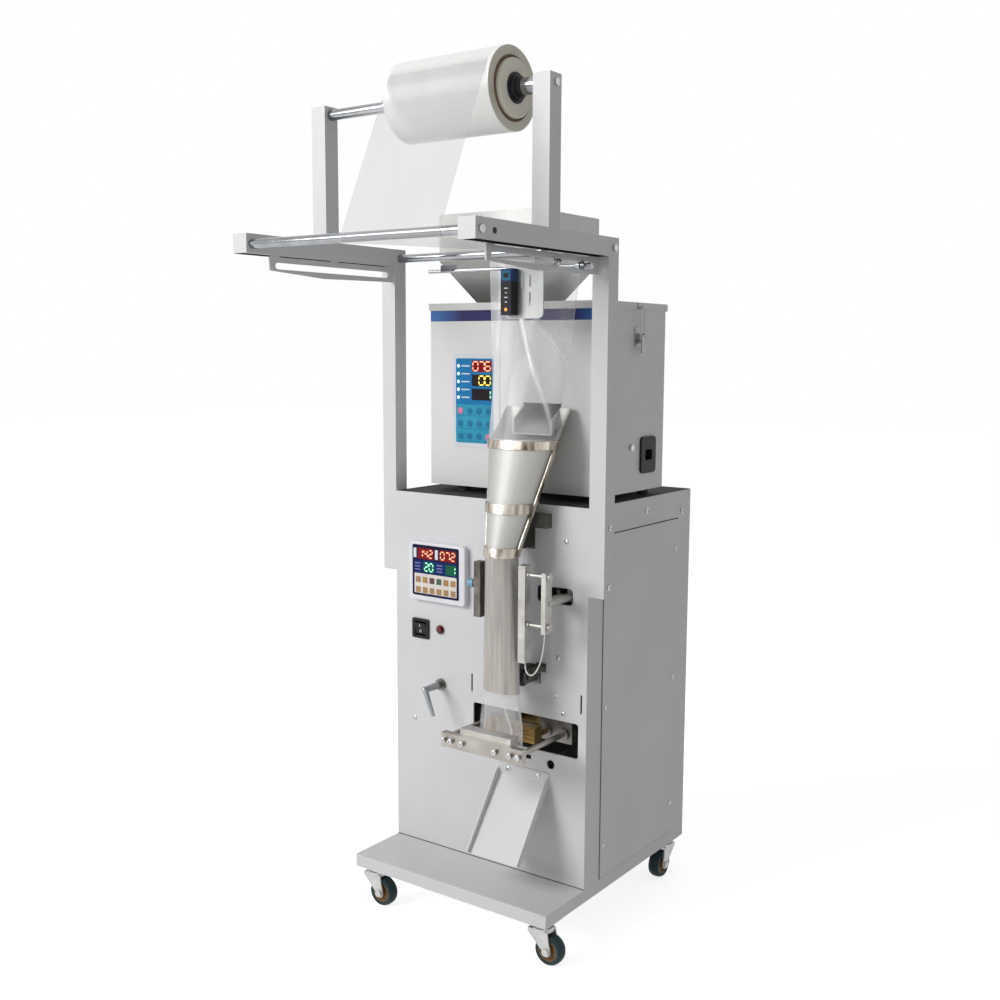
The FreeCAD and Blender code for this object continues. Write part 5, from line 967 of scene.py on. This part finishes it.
@dataclass
class ControlPanel:
    """Overlay of the bag maker's controls in the white bezel: displays above a keypad."""

    left: float = -153.6
    right: float = -51.4
    bottom: float = 547.4
    top: float = 636.6
    back: float = -16.7
    key_size: float = 7.1
    key_rows: tuple[float, float] = (575.4, 557.6)
    key_start: float = -141.0
    key_pitch: float = 15.4

    def build(self) -> None:
        """Make the printed overlay with its windows, and the keys on it."""
        finishes = [OVERLAY_NAVY, OVERLAY_MARINE, KEYPAD_WHITE, WINDOW_RED, WINDOW_GREEN, GLOW_RED, GLOW_GREEN,
                    INK_WHITE, INK_LILAC]
        shape = Shape(finishes)
        shape.plate(rounded(self.left, self.right, self.bottom, self.top, 3.2), self.back, self.back - 0.45,
                    OVERLAY_NAVY)
        face = self.back - 0.45
        shape.plate(rounded(self.left + 4, self.right - 4, 587.0, 609.5, 1.0), face, face - 0.06, OVERLAY_MARINE)
        shape.plate(rounded(self.left + 4, self.right - 5, self.bottom + 4, self.bottom + 39, 1.5), face,
                    face - 0.15, KEYPAD_WHITE)
        Display(-142.0, -106.5, 612.0, 631.5, "142", WINDOW_RED, GLOW_RED, 3.2, 1.9).build(shape, face)
        Display(-94.5, -57.0, 612.0, 631.5, "072", WINDOW_RED, GLOW_RED, 3.2, 1.9).build(shape, face)
        Display(-129.0, -106.0, 589.5, 607.5, "20", WINDOW_GREEN, GLOW_GREEN, 2.2, 2.2).build(shape, face - 0.06)
        Display(-80.0, -57.0, 589.5, 607.5, " 1", WINDOW_GREEN, GLOW_GREEN, 2.6, 2.0).build(shape, face - 0.06)
        for x in (-148.5, -100.5):
            shape.plate(rounded(x - 3.2, x + 3.2, 613.5, 630.5, 0.8), face, face - 0.12, INK_WHITE)
        for x in (-145.0, -96.0):
            for z in (593.0, 598.5, 604.0):
                shape.plate(rounded(x - 4.0, x + 8.5, z - 1.0, z + 1.0, 0.6), face - 0.06, face - 0.18, INK_LILAC)
        overlay = shape.piece("control_overlay")
        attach(overlay, ROOT)
        LOG.info("control overlay with four displays")
        self.keys(face - 0.15)

    def keys(self, face: float) -> None:
        """Raised keys in two rows, two of the upper ones coloured.

        Args:
            face: Y of the keypad's surface.
        """
        tan = []
        for row, z in enumerate(self.key_rows):
            for column in range(6):
                key = Head(self.key_start + column * self.key_pitch, face, z, Facing.FRONT, self.key_size, 0.9, 45.0)
                if row == 0 and column in (2, 3):
                    finish = KEY_RED if column == 2 else KEY_GREEN
                    name = "stop_key" if column == 2 else "start_key"
                    HeadSet(name, finish, [key], 4, 0.15).build(ROOT, "printed_plastic")
                else:
                    tan.append(key)
        HeadSet("setting_keys", KEY_TAN, tan, 4, 0.15).build(ROOT, "printed_plastic")


@dataclass
class WeigherPanel:
    """Overlay on the weigher: five lamps, three displays and a field of round keys."""

    face: float = 38.0

    def build(self) -> None:
        """Make the printed fields, the lamps and the keys."""
        finishes = [OVERLAY_BLUE, OVERLAY_TEAL, WINDOW_DARK, WINDOW_RED, GLOW_RED, GLOW_YELLOW, GLOW_GREEN, INK_WHITE,
                    KEY_BLUE]
        shape = Shape(finishes)
        shape.plate(rounded(-100.7, -20.5, 813.8, 958.5, 3.0), self.face, self.face - 0.1, OVERLAY_BLUE)
        shape.plate(rounded(-100.4, -20.8, 814.1, 880.0, 3.0), self.face - 0.1, self.face - 0.2, OVERLAY_TEAL)
        face = self.face - 0.1
        Display(-66.0, -24.5, 935.5, 955.0, "076", WINDOW_RED, GLOW_RED, 2.2, 1.9).build(shape, face)
        Display(-66.0, -24.5, 911.5, 931.0, " 00", WINDOW_DARK, GLOW_YELLOW, 2.2, 1.9).build(shape, face)
        Display(-66.0, -24.5, 887.5, 907.0, "  1", WINDOW_DARK, GLOW_GREEN, 2.2, 1.9).build(shape, face)
        for index in range(5):
            z = 892.0 + 13.4 * index
            shape.plate(rounded(-88.5, -71.0, z - 1.0, z + 1.0, 0.8), face, face - 0.12, INK_WHITE)
        for z in (868.5, 846.5, 824.5):
            shape.plate(rounded(-97.0, -24.0, z - 8.2, z - 7.2, 0.4), self.face - 0.2, self.face - 0.32, KEY_BLUE)
        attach(shape.piece("weigher_overlay_print"), ROOT)
        lamps = [Head(-95.0, face, 892.0 + 13.4 * index, Facing.FRONT, 2.8, 0.8) for index in range(5)]
        HeadSet("weigher_lamps", GLOW_WHITE, lamps, 16, 0.5).build(ROOT, "printed_plastic")
        pink = []
        blue = []
        for row in range(3):
            for column in range(4):
                spot = Head(-90.5 + 19.9 * column, self.face - 0.2, 869.0 - 22.0 * row, Facing.FRONT, 5.6, 0.7)
                (pink if (row, column) in ((0, 0), (2, 3)) else blue).append(spot)
        HeadSet("weigher_main_keys", KEY_PINK, pink, 24, 0.2).build(ROOT, "printed_plastic")
        HeadSet("weigher_set_keys", KEY_BLUE, blue, 24, 0.2).build(ROOT, "printed_plastic")
        self.band()

    def band(self) -> None:
        """Plain coloured band along the top of the weigher's front."""
        shape = Shape([HEADER_BAND])
        shape.plate(rounded(-157.5, 190.5, 1021.5, 1039.6, 0.8), WEIGHER_FRONT_Y, WEIGHER_FRONT_Y - 0.25, HEADER_BAND)
        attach(shape.piece("weigher_header_band"), ROOT)


@dataclass
class SwitchMarks:
    """On and off marks on the rocker switch."""

    x: float = -143.5
    z: float = 485.5

    def build(self) -> None:
        """Line on the upper half and ring on the lower half of the rocker."""
        shape = Shape([INK_WHITE])
        shape.plate(rounded(self.x - 0.6, self.x + 0.6, self.z + 3.4, self.z + 8.0, 0.4), FRONT_Y - 3.0,
                    FRONT_Y - 4.95, INK_WHITE)
        place = Matrix.Translation((self.x, FRONT_Y - 2.0, self.z - 5.0)) @ Matrix.Rotation(math.radians(90.0), 4, "Z")
        ring = [(-0.6, 1.6), (-0.6, 2.3), (0.6, 2.3), (0.6, 1.6)]
        shape.lathe([(a, r, INK_WHITE) for a, r in ring], place, 24)
        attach(shape.piece("rocker_marks"), "rocker")


@dataclass
class MarkSensor:
    """Label, knob and lamp on the film mark sensor."""

    x: float = 86.0
    face: float = -75.5
    bottom: float = 1026.5

    def build(self) -> None:
        """Printed lines on the black half, a blue frame on the upper half and the lit lamp at the foot."""
        shape = Shape([INK_WHITE, BLACK_ABS, KEY_BLUE])
        for index in range(4):
            z = self.bottom + 20.0 + 7.0 * index
            half = 3.5 if index % 2 else 2.0
            shape.plate(rounded(self.x - half, self.x + half, z - 0.8, z + 0.8, 0.5), self.face, self.face - 0.15,
                        INK_WHITE)
        shape.plate(rounded(self.x - 8.0, self.x + 8.0, self.bottom + 53.5, self.bottom + 68.0, 2.0), self.face,
                    self.face - 0.3, KEY_BLUE)
        shape.plate(rounded(self.x - 4.5, self.x + 4.5, self.bottom + 57.0, self.bottom + 64.0, 1.0),
                    self.face - 0.3, self.face - 0.8, BLACK_ABS)
        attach(shape.piece("mark_sensor_label"), "film_sensor")
        lamp = [Head(self.x, self.face, self.bottom + 8.5, Facing.FRONT, 2.6, 1.2)]
        HeadSet("mark_sensor_lamp", GLOW_ORANGE, lamp, 20, 0.5).build("film_sensor", "printed_plastic")


@dataclass
class RollCore:
    """Cardboard core of the film roll with an end disc and a clamping hub on each side."""

    left: float = -38.0
    width: float = 193.0
    axis_y: float = -158.0
    axis_z: float = 1342.5
    bore: float = 8.6
    disc: float = 41.5
    groove: float = 46.0
    rim: float = 59.5
    core: float = 37.6

    def build(self) -> None:
        """Turn both ends, with the yellowed edges of the turns, and the core between them."""
        shape = Shape([CREAM_PP, GROOVE_BROWN, HUB_BLACK, FILM_EDGE])
        ends = ((self.left, -1.0), (self.left + self.width, 1.0))
        for face, side in ends:
            place = Matrix.Translation((face, self.axis_y, self.axis_z)) @ Matrix.Diagonal((side, 1.0, 1.0, 1.0))
            disc = [(-16.0, 22.0), (-16.0, 33.0), (0.4, 33.0), (0.4, self.disc), (5.6, self.disc), (7.0, self.disc - 1.4),
                    (7.0, self.disc - 4.0), (6.2, self.disc - 5.0), (6.2, 22.0)]
            shape.lathe([(a, r, CREAM_PP) for a, r in disc], place, 96)
            groove = [(0.3, self.disc), (0.3, self.groove), (1.2, self.groove), (1.2, self.disc)]
            shape.lathe([(a, r, GROOVE_BROWN) for a, r in groove], place, 96)
            edge = [(0.2, self.groove), (0.2, self.rim - 0.8), (0.5, self.rim - 0.8), (0.5, self.groove)]
            shape.lathe([(a, r, FILM_EDGE) for a, r in edge], place, 96)
            hub = [(-16.0, self.bore), (-16.0, 21.8), (7.6, 21.8), (9.0, 20.6), (9.0, 18.2), (13.0, 17.4), (14.2, 16.2),
                   (14.2, 14.4), (19.6, 13.4), (21.0, 12.0), (21.0, self.bore)]
            shape.lathe([(a, r, HUB_BLACK) for a, r in hub], place, 72)
        tube = [(self.left + 0.2, 33.2), (self.left + 0.2, self.core), (self.left + self.width - 0.2, self.core),
                (self.left + self.width - 0.2, 33.2)]
        shape.lathe([(a, r, CREAM_PP) for a, r in tube], Matrix.Translation((0.0, self.axis_y, self.axis_z)), 72)
        made = shape.piece("roll_end_discs", True)
        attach(made, "film_roll")
        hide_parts("roll_core")
        LOG.info("end discs and hubs of the film roll")


@dataclass
class CasterWheel:
    """Rubber tyre on a moulded core, standing at its caster's heading."""

    name: str
    x: float
    y: float
    heading: float
    trail: float = 14.0
    radius: float = 25.0
    core: float = 17.0
    half: float = 10.0

    def build(self) -> None:
        """Turn the tyre with a crowned tread and the dished core with its hub."""
        heading = math.radians(self.heading)
        centre = Vector((self.x + self.trail * math.cos(heading), self.y + self.trail * math.sin(heading), self.radius))
        place = Matrix.Translation(centre) @ Matrix.Rotation(heading + math.pi / 2, 4, "Z")
        shape = Shape([TREAD, WHEEL_CORE, ZINC])
        tyre = []
        for step in range(-5, 6):
            share = step / 5.0
            tyre.append((share * self.half, self.radius - 2.6 * abs(share) ** 3.2, TREAD))
        tyre += [(self.half, self.core + 2.2, TREAD), (self.half - 0.8, self.core + 0.9, TREAD),
                 (self.half - 0.8, self.core, TREAD), (0.8 - self.half, self.core, TREAD),
                 (0.8 - self.half, self.core + 0.9, TREAD), (-self.half, self.core + 2.2, TREAD)]
        shape.lathe(tyre, place, 72)
        face = self.half - 1.0
        core = [(-face, self.core), (face, self.core), (face, self.core - 2.0), (face - 3.0, self.core - 3.4),
                (face - 3.0, 8.4), (face + 1.6, 7.2), (face + 1.6, 4.0), (-face - 1.6, 4.0), (-face - 1.6, 7.2),
                (3.0 - face, 8.4), (3.0 - face, self.core - 3.4), (-face, self.core - 2.0)]
        shape.lathe([(a, r, WHEEL_CORE) for a, r in core], place, 72)
        bush = [(-face - 2.0, 3.6), (-face - 2.0, 4.0), (face + 2.0, 4.0), (face + 2.0, 3.6)]
        shape.lathe([(a, r, ZINC) for a, r in bush], place, 32)
        made = shape.piece("wheel_" + self.name, True)
        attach(made, "caster_wheel_" + self.name)
        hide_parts("caster_wheel_" + self.name)
        LOG.info("wheel %s", self.name)


@dataclass
class SealLead:
    """Sleeved heater lead that loops from the seal bar's foot up to its plate."""

    diameter: float = 2.2
    length: float = 97.0
    route: tuple[tuple[float, float, float], ...] = (
        (124.5, -71.5, 480.0), (124.5, -71.5, 471.0), (129.5, -73.5, 463.0), (138.5, -74.5, 460.0),
        (148.5, -74.5, 469.0), (157.0, -73.5, 488.0), (162.0, -72.5, 518.3), (162.0, -72.5, 532.3))

    def build(self) -> None:
        """Lay the lead along its route as one smooth curve."""
        curve = bpy.data.curves.new("seal_bar_lead", "CURVE")
        curve.dimensions = "3D"
        curve.bevel_depth = self.diameter / 2 * MM
        curve.bevel_resolution = 3
        curve.resolution_u = 12
        curve.use_fill_caps = True
        spline = curve.splines.new("NURBS")
        spline.points.add(len(self.route) - 1)
        for point, (x, y, z) in zip(spline.points, self.route):
            point.co = (x * MM, y * MM, z * MM, 1.0)
        spline.order_u = 3
        spline.use_endpoint_u = True
        curve.materials.append(WIRE_SLEEVE.material())
        lead = bpy.data.objects.new("seal_bar_lead", curve)
        bpy.context.scene.collection.objects.link(lead)
        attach(lead, "seal_bar_right")
        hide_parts("seal_wire")
        LOG.info("seal bar lead")


@dataclass
class Film:
    """The packing film on its way from the roll to the jaws, as three sheets of one width."""

    width: float = 181.0
    skin: float = 0.65
    roll: tuple[float, float] = (-158.0, 1342.5)
    roll_radius: float = 59.5
    roll_shift: float = -19.5
    front_bar: tuple[float, float] = (-331.5, 1128.5)
    rear_bar: tuple[float, float] = (8.0, 1128.5)
    bar_radius: float = 7.0
    collar_z: float = 830.0
    collar_y: float = -11.5
    collar_half: tuple[float, float] = (62.0, 46.0)
    tube_y: float = -71.5
    tube_radius: float = 26.5
    neck_z: float = 650.0
    tube_end_z: float = 425.0
    oval_half: tuple[float, float] = (34.0, 17.0)
    flat_z: float = 368.0
    end_z: float = 334.0
    across: int = 60
    right_edge: float = 4.0
    roll_wrap: float = 112.0

    def sheet(self, name: str, finish: Finish, node: str, rows: list[list[tuple[Vector, float]]]) -> None:
        """Args:
            name: Name of the piece.
            finish: Its film.
            node: CAD node that it stands for.
            rows: Rows along the film's travel, each of (place in millimetres, fold value).
        """
        shape = Shape([finish])
        layer = shape.mesh.verts.layers.float.new("fold")
        grid = []
        for row in rows:
            line = []
            for place, fold in row:
                corner = shape.point(place.x, place.y, place.z)
                corner[layer] = fold
                line.append(corner)
            grid.append(line)
        for low, high in zip(grid, grid[1:]):
            for step in range(len(low) - 1):
                shape.face([low[step], low[step + 1], high[step + 1], high[step]], finish)
        made = shape.piece(name, True)
        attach(made, ROOT)
        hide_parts(node)

    def lean(self, start: tuple[float, float], start_reach: float, end: tuple[float, float],
             end_reach: float) -> tuple[float, float]:
        """Direction from a bar's centre to where a straight film run touches it.

        Args:
            start: Centre of the first bar as (y, z).
            start_reach: Distance of the film from that centre.
            end: Centre of the second bar.
            end_reach: Distance there, negative where the film crosses to the other side.

        Returns:
            Unit (y, z).
        """
        dy = end[0] - start[0]
        dz = end[1] - start[1]
        span = math.hypot(dy, dz)
        angle = math.asin((start_reach - end_reach) / span)
        return ((dz * math.cos(angle) + dy * math.sin(angle)) / span,
                (-dy * math.cos(angle) + dz * math.sin(angle)) / span)

    def web(self) -> None:
        """Film from the roll, round the front bar's underside and over the rear bar."""
        reach = self.bar_radius + self.skin
        down = self.lean(self.roll, self.roll_radius + self.skin, self.front_bar, reach)
        back = self.lean(self.front_bar, reach, self.rear_bar, -reach)
        first = math.degrees(math.atan2(down[1], down[0])) % 360.0
        last = math.degrees(math.atan2(back[1], back[0])) % 360.0
        path: list[tuple[float, float, float, float, float]] = []

        def around(centre: tuple[float, float], radius: float, start: float, end: float, steps: int,
                   shift: float) -> None:
            for step in range(steps + 1):
                angle = math.radians(start + (end - start) * step / steps)
                cover = step / steps if centre == self.roll else 1.0
                path.append((centre[0] + radius * math.cos(angle), centre[1] + radius * math.sin(angle), shift, 0.0,
                             0.85 * cover ** 16))

        def run(start: tuple[float, float], end: tuple[float, float], steps: int, shift: float) -> None:
            for step in range(1, steps):
                share = step / steps
                path.append((start[0] + (end[0] - start[0]) * share, start[1] + (end[1] - start[1]) * share,
                             shift * (1.0 - share), math.sin(math.pi * share), 0.85))

        def touch(centre: tuple[float, float], direction: tuple[float, float], radius: float) -> tuple[float, float]:
            return (centre[0] + direction[0] * radius, centre[1] + direction[1] * radius)

        around(self.roll, self.roll_radius + self.skin, first - self.roll_wrap, first, 16, self.roll_shift)
        run(touch(self.roll, down, self.roll_radius + self.skin), touch(self.front_bar, down, reach), 24,
            self.roll_shift)
        around(self.front_bar, reach, first, last, 8, 0.0)
        run(touch(self.front_bar, back, reach), touch(self.rear_bar, back, -reach), 24, 0.0)
        around(self.rear_bar, reach, last - 180.0, 0.0, 6, 0.0)
        rows = []
        for y, z, shift, slack, cover in path:
            row = []
            for step in range(self.across + 1):
                share = step / self.across
                ripple = 0.5 * slack * math.sin(9.0 * share + 0.02 * y) + 0.3 * slack * math.sin(23.0 * share)
                fold = cover * (1.0 + 0.1 * noise.noise(Vector((share * 6.0, y * 0.01, z * 0.01))))
                row.append((Vector((PROCESS_X + shift + (share - 0.5) * self.width, y, z + ripple)), fold))
            rows.append(row)
        self.sheet("film_from_roll", WEB_FILM, "film_web", rows)

    def collar_point(self, share: float, offset: float) -> Vector:
        """Place on the collar where the film's width has gone a share of the way from left to right."""
        return self.ring_point(self.collar_z, share, offset)[0]

    def outline(self, z: float) -> tuple[float, float, float]:
        """Cross section of the former at a height.

        Args:
            z: Height in millimetres.

        Returns:
            Y of its middle, and its half sizes along X and Y.
        """
        flat = math.pi * self.tube_radius / 2
        if z >= self.neck_z:
            share = (z - self.neck_z) / (self.collar_z - self.neck_z)
            return (self.tube_y + share * (self.collar_y - self.tube_y),
                    self.tube_radius + share * (self.collar_half[0] - self.tube_radius),
                    self.tube_radius + share * (self.collar_half[1] - self.tube_radius))
        if z >= self.tube_end_z:
            share = (self.neck_z - z) / (self.neck_z - self.tube_end_z)
            return (self.tube_y, self.tube_radius + share * (self.oval_half[0] - self.tube_radius),
                    self.tube_radius + share * (self.oval_half[1] - self.tube_radius))
        share = min(1.0, (self.tube_end_z - z) / (self.tube_end_z - self.flat_z))
        return (self.tube_y, self.oval_half[0] + share * (flat - self.oval_half[0]),
                self.oval_half[1] + share * (0.1 - self.oval_half[1]))

    def ring_point(self, z: float, share: float, offset: float) -> tuple[Vector, float]:
        """Place of the film round the former, from its left edge to its right edge.

        Args:
            z: Height in millimetres.
            share: Share of the film's width, from its left edge.
            offset: Gap to the former's wall.

        Returns:
            The place, and the arc that the whole width takes in degrees.
        """
        y, half_x, half_y = self.outline(z)
        half_x += offset
        half_y += offset
        ratio = ((half_x - half_y) / (half_x + half_y)) ** 2
        girth = math.pi * (half_x + half_y) * (1 + 3 * ratio / (10 + math.sqrt(4 - 3 * ratio)))
        arc = 360.0 * self.width / girth
        angle = math.radians(self.right_edge - (1.0 - share) * min(arc, 376.0))
        lap = 0.35 * (1.0 - share)
        return Vector((PROCESS_X + (half_x + lap) * math.cos(angle), y + (half_y + lap) * math.sin(angle), z)), arc

    def curtain(self) -> None:
        """Film from behind the rear bar down to the collar, gathered and creased towards its right."""
        flat_y = self.rear_bar[0] + self.bar_radius + self.skin
        top_z = self.rear_bar[1]
        rows = []
        steps = 56
        for step in range(steps + 1):
            travel = step / steps
            z = top_z + travel * (self.collar_z - top_z)
            row = []
            for place in range(self.across + 1):
                share = place / self.across
                top = Vector((PROCESS_X + (share - 0.5) * self.width, flat_y, top_z))
                low = self.collar_point(share, self.skin)
                spot = top.lerp(low, travel)
                slack = math.sin(math.pi * travel) ** 0.7
                first = math.exp(-(((share - (0.19 + 0.75 * travel)) / 0.022) ** 2))
                second = math.exp(-(((share - (1.52 * travel + 0.08)) / 0.018) ** 2))
                third = math.exp(-(((share - (0.12 + 0.08 * travel)) / 0.03) ** 2))
                wave = 1.6 * math.sin(11.0 * share + 3.0 * travel) + 0.8 * math.sin(27.0 * share - 5.0 * travel)
                spot.y -= slack * (2.6 * first + 2.0 * second + 1.6 * third + wave)
                spot.z = z
                left_strip = 0.28 / (1.0 + math.exp((share - 0.34 - 0.1 * travel) * 34.0))
                edge = max(0.0, 1.0 - min(share, 1.0 - share) * 55.0)
                mottle = 0.08 * noise.noise(Vector((share * 5.0, travel * 3.0, 4.0)))
                # Creases are made denser, which whitens them: partly the film's real crumpling, partly a painted
                # highlight along them.
                fold = 0.12 + left_strip + mottle + slack * (1.1 * first + 0.9 * second + 0.12 * third) + 0.3 * edge
                row.append((spot, min(1.0, max(0.0, fold))))
            rows.append(row)
        self.sheet("film_curtain_to_collar", MACHINE_FILM, "film_web", rows)

    def sleeve(self) -> None:
        """Film drawn round the former, its edges lapped on the right, and flat between the jaws."""
        heights = [self.collar_z - 6.0 * step for step in range(int((self.collar_z - self.end_z) / 6.0) + 1)]
        heights.append(self.end_z)
        rows = []
        for z in heights:
            below = max(0.0, min(1.0, (self.tube_end_z - z) / 50.0))
            row = []
            for place in range(2 * self.across + 1):
                share = place / (2 * self.across)
                spot, _ = self.ring_point(z, share, self.skin)
                crumple = noise.noise(Vector((spot.x * 0.09, share * 14.0, z * 0.045)))
                free = math.sin(math.pi * max(0.0, min(1.0, (self.tube_end_z - z) / (self.tube_end_z - self.end_z))))
                outward = 1.0 if spot.y > self.tube_y else -1.0
                spot.y += outward * free * 1.4 * abs(crumple)
                lap = 0.25 if share < 0.06 or share > 0.94 else 0.0
                crease = math.exp(-(((share - 0.79 - 0.0006 * (self.tube_end_z - z)) / 0.008) ** 2))
                crease += 0.7 * math.exp(-(((share - 0.66 + 0.0008 * (self.tube_end_z - z)) / 0.01) ** 2))
                fold = 0.03 + lap * 0.6 + below * (0.06 + 0.3 * max(0.0, crumple) + 0.8 * crease)
                row.append((spot, min(1.0, max(0.0, fold))))
            rows.append(row)
        self.sheet("film_sleeve_to_jaws", MACHINE_FILM, "film_sleeve", rows)

    def build(self) -> None:
        """Make the three sheets."""
        self.web()
        self.curtain()
        self.sleeve()


@dataclass
class Studio:
    """Camera at the photograph's place, pale floor and soft light."""

    camera_place: tuple[float, float, float] = (1168.5, -1583.4, 971.1)
    yaw: float = 0.615
    pitch: float = -0.128
    roll: float = 0.006
    focal: float = 42.63
    shift: tuple[float, float] = (-0.0138, 0.0036)
    ambient: float = 0.25
    floor_glow: float = 0.76

    def camera(self) -> None:
        """Set the camera; its three axes come from yaw, pitch and roll."""
        forward = Vector((-math.sin(self.yaw) * math.cos(self.pitch), math.cos(self.yaw) * math.cos(self.pitch),
                          math.sin(self.pitch)))
        level = Vector((math.cos(self.yaw), math.sin(self.yaw), 0.0))
        upright = level.cross(forward)
        right = level * math.cos(self.roll) + upright * math.sin(self.roll)
        up = upright * math.cos(self.roll) - level * math.sin(self.roll)
        data = bpy.data.cameras.new("camera")
        data.sensor_width = 36.0
        data.lens = self.focal
        data.shift_x, data.shift_y = self.shift
        data.clip_end = 100.0
        camera = bpy.data.objects.new("camera", data)
        turn = Matrix((right, up, -forward)).transposed().to_4x4()
        camera.matrix_world = Matrix.Translation(Vector(self.camera_place) * MM) @ turn
        bpy.context.scene.collection.objects.link(camera)
        bpy.context.scene.camera = camera

    def seen(self, tree: bpy.types.NodeTree) -> bpy.types.NodeSocket:
        """Value that is 1 for what the eye, a mirror or glass sees, and 0 for light that falls on things.

        Args:
            tree: Node tree of the world or the floor.

        Returns:
            The value output.
        """
        rays = add_node(tree, "ShaderNodeLightPath").outputs
        either = add_node(tree, "ShaderNodeMath", links={0: rays["Is Camera Ray"], 1: rays["Is Glossy Ray"]},
                          operation="MAXIMUM")
        return add_node(tree, "ShaderNodeMath", links={0: either.outputs[0], 1: rays["Is Transmission Ray"]},
                        operation="MAXIMUM").outputs[0]

    def world(self) -> None:
        """White surroundings that light the object softly."""
        world = bpy.data.worlds.new("studio")
        world.use_nodes = True
        tree = world.node_tree
        tree.nodes.clear()
        strength = add_node(tree, "ShaderNodeMapRange", {"To Min": self.ambient, "To Max": 1.0},
                            {"Value": self.seen(tree)})
        sky = add_node(tree, "ShaderNodeBackground", {"Color": (1.0, 1.0, 1.0, 1.0)},
                       {"Strength": strength.outputs["Result"]})
        add_node(tree, "ShaderNodeOutputWorld", links={"Surface": sky.outputs[0]})
        bpy.context.scene.world = world

    def floor(self) -> None:
        """Pale floor that melts into the background and keeps the machine's shadow."""
        material = bpy.data.materials.new("pale_studio_floor")
        material.use_nodes = True
        tree = material.node_tree
        tree.nodes.clear()
        paint = add_node(tree, "ShaderNodeBsdfPrincipled", {"Base Color": linear("#f2f2f2"), "Roughness": 0.9,
                                                           "Specular IOR Level": 0.1,
                                                           "Emission Color": (1.0, 1.0, 1.0, 1.0)})
        glow = add_node(tree, "ShaderNodeMapRange", {"To Min": 0.0, "To Max": self.floor_glow},
                        {"Value": self.seen(tree)})
        tree.links.new(glow.outputs["Result"], paint.inputs["Emission Strength"])
        add_node(tree, "ShaderNodeOutputMaterial", links={"Surface": paint.outputs[0]})
        data = bpy.data.meshes.new("studio_floor")
        reach = 14.0
        data.from_pydata([(-reach, -reach, 0.0), (reach, -reach, 0.0), (reach, reach, 0.0), (-reach, reach, 0.0)], [],
                         [(0, 1, 2, 3)])
        data.materials.append(material)
        floor = bpy.data.objects.new("studio_floor", data)
        bpy.context.scene.collection.objects.link(floor)

    def lamp(self, name: str, place: tuple[float, float, float], aim: tuple[float, float, float], side: float,
             power: float) -> None:
        """Square soft lamp.

        Args:
            name: Name of the lamp.
            place: Where it stands, in metres.
            aim: What it points at, in metres.
            side: Length of its side in metres.
            power: Power in watts.
        """
        data = bpy.data.lights.new(name, "AREA")
        data.shape = "SQUARE"
        data.size = side
        data.energy = power
        lamp = bpy.data.objects.new(name, data)
        direction = Vector(aim) - Vector(place)
        lamp.matrix_world = Matrix.Translation(place) @ direction.to_track_quat("-Z", "Y").to_matrix().to_4x4()
        bpy.context.scene.collection.objects.link(lamp)

    def build(self) -> None:
        """Set camera, floor, world and lamps."""
        settings = bpy.context.scene.view_settings
        settings.view_transform = "Standard"
        self.camera()
        self.world()
        self.floor()
        self.lamp("key_lamp", (-1.7, -3.0, 2.3), (0.0, 0.0, 0.75), 1.8, 94.0)
        self.lamp("fill_lamp", (2.6, -1.4, 1.6), (0.0, 0.0, 0.7), 1.4, 2.0)


def main() -> None:
    """Build the studio and every sub-assembly in order."""
    logging.basicConfig(level=logging.INFO, format="%(message)s")
    Studio().build()
    SealLead().build()
    dress_cad_nodes()
    Film().build()
    RollCore().build()
    Fasteners().build()
    PanelDetails().build()
    ControlPanel().build()
    WeigherPanel().build()
    SwitchMarks().build()
    MarkSensor().build()
    for wheel in (CasterWheel("front_left", -176.0, -89.5, 0.0), CasterWheel("front_right", 176.0, -89.5, 0.0),
                  CasterWheel("rear_left", -176.0, 312.5, 200.0), CasterWheel("rear_right", 176.0, 312.5, 270.0)):
        wheel.build()


if __name__ == "__main__":
    main()
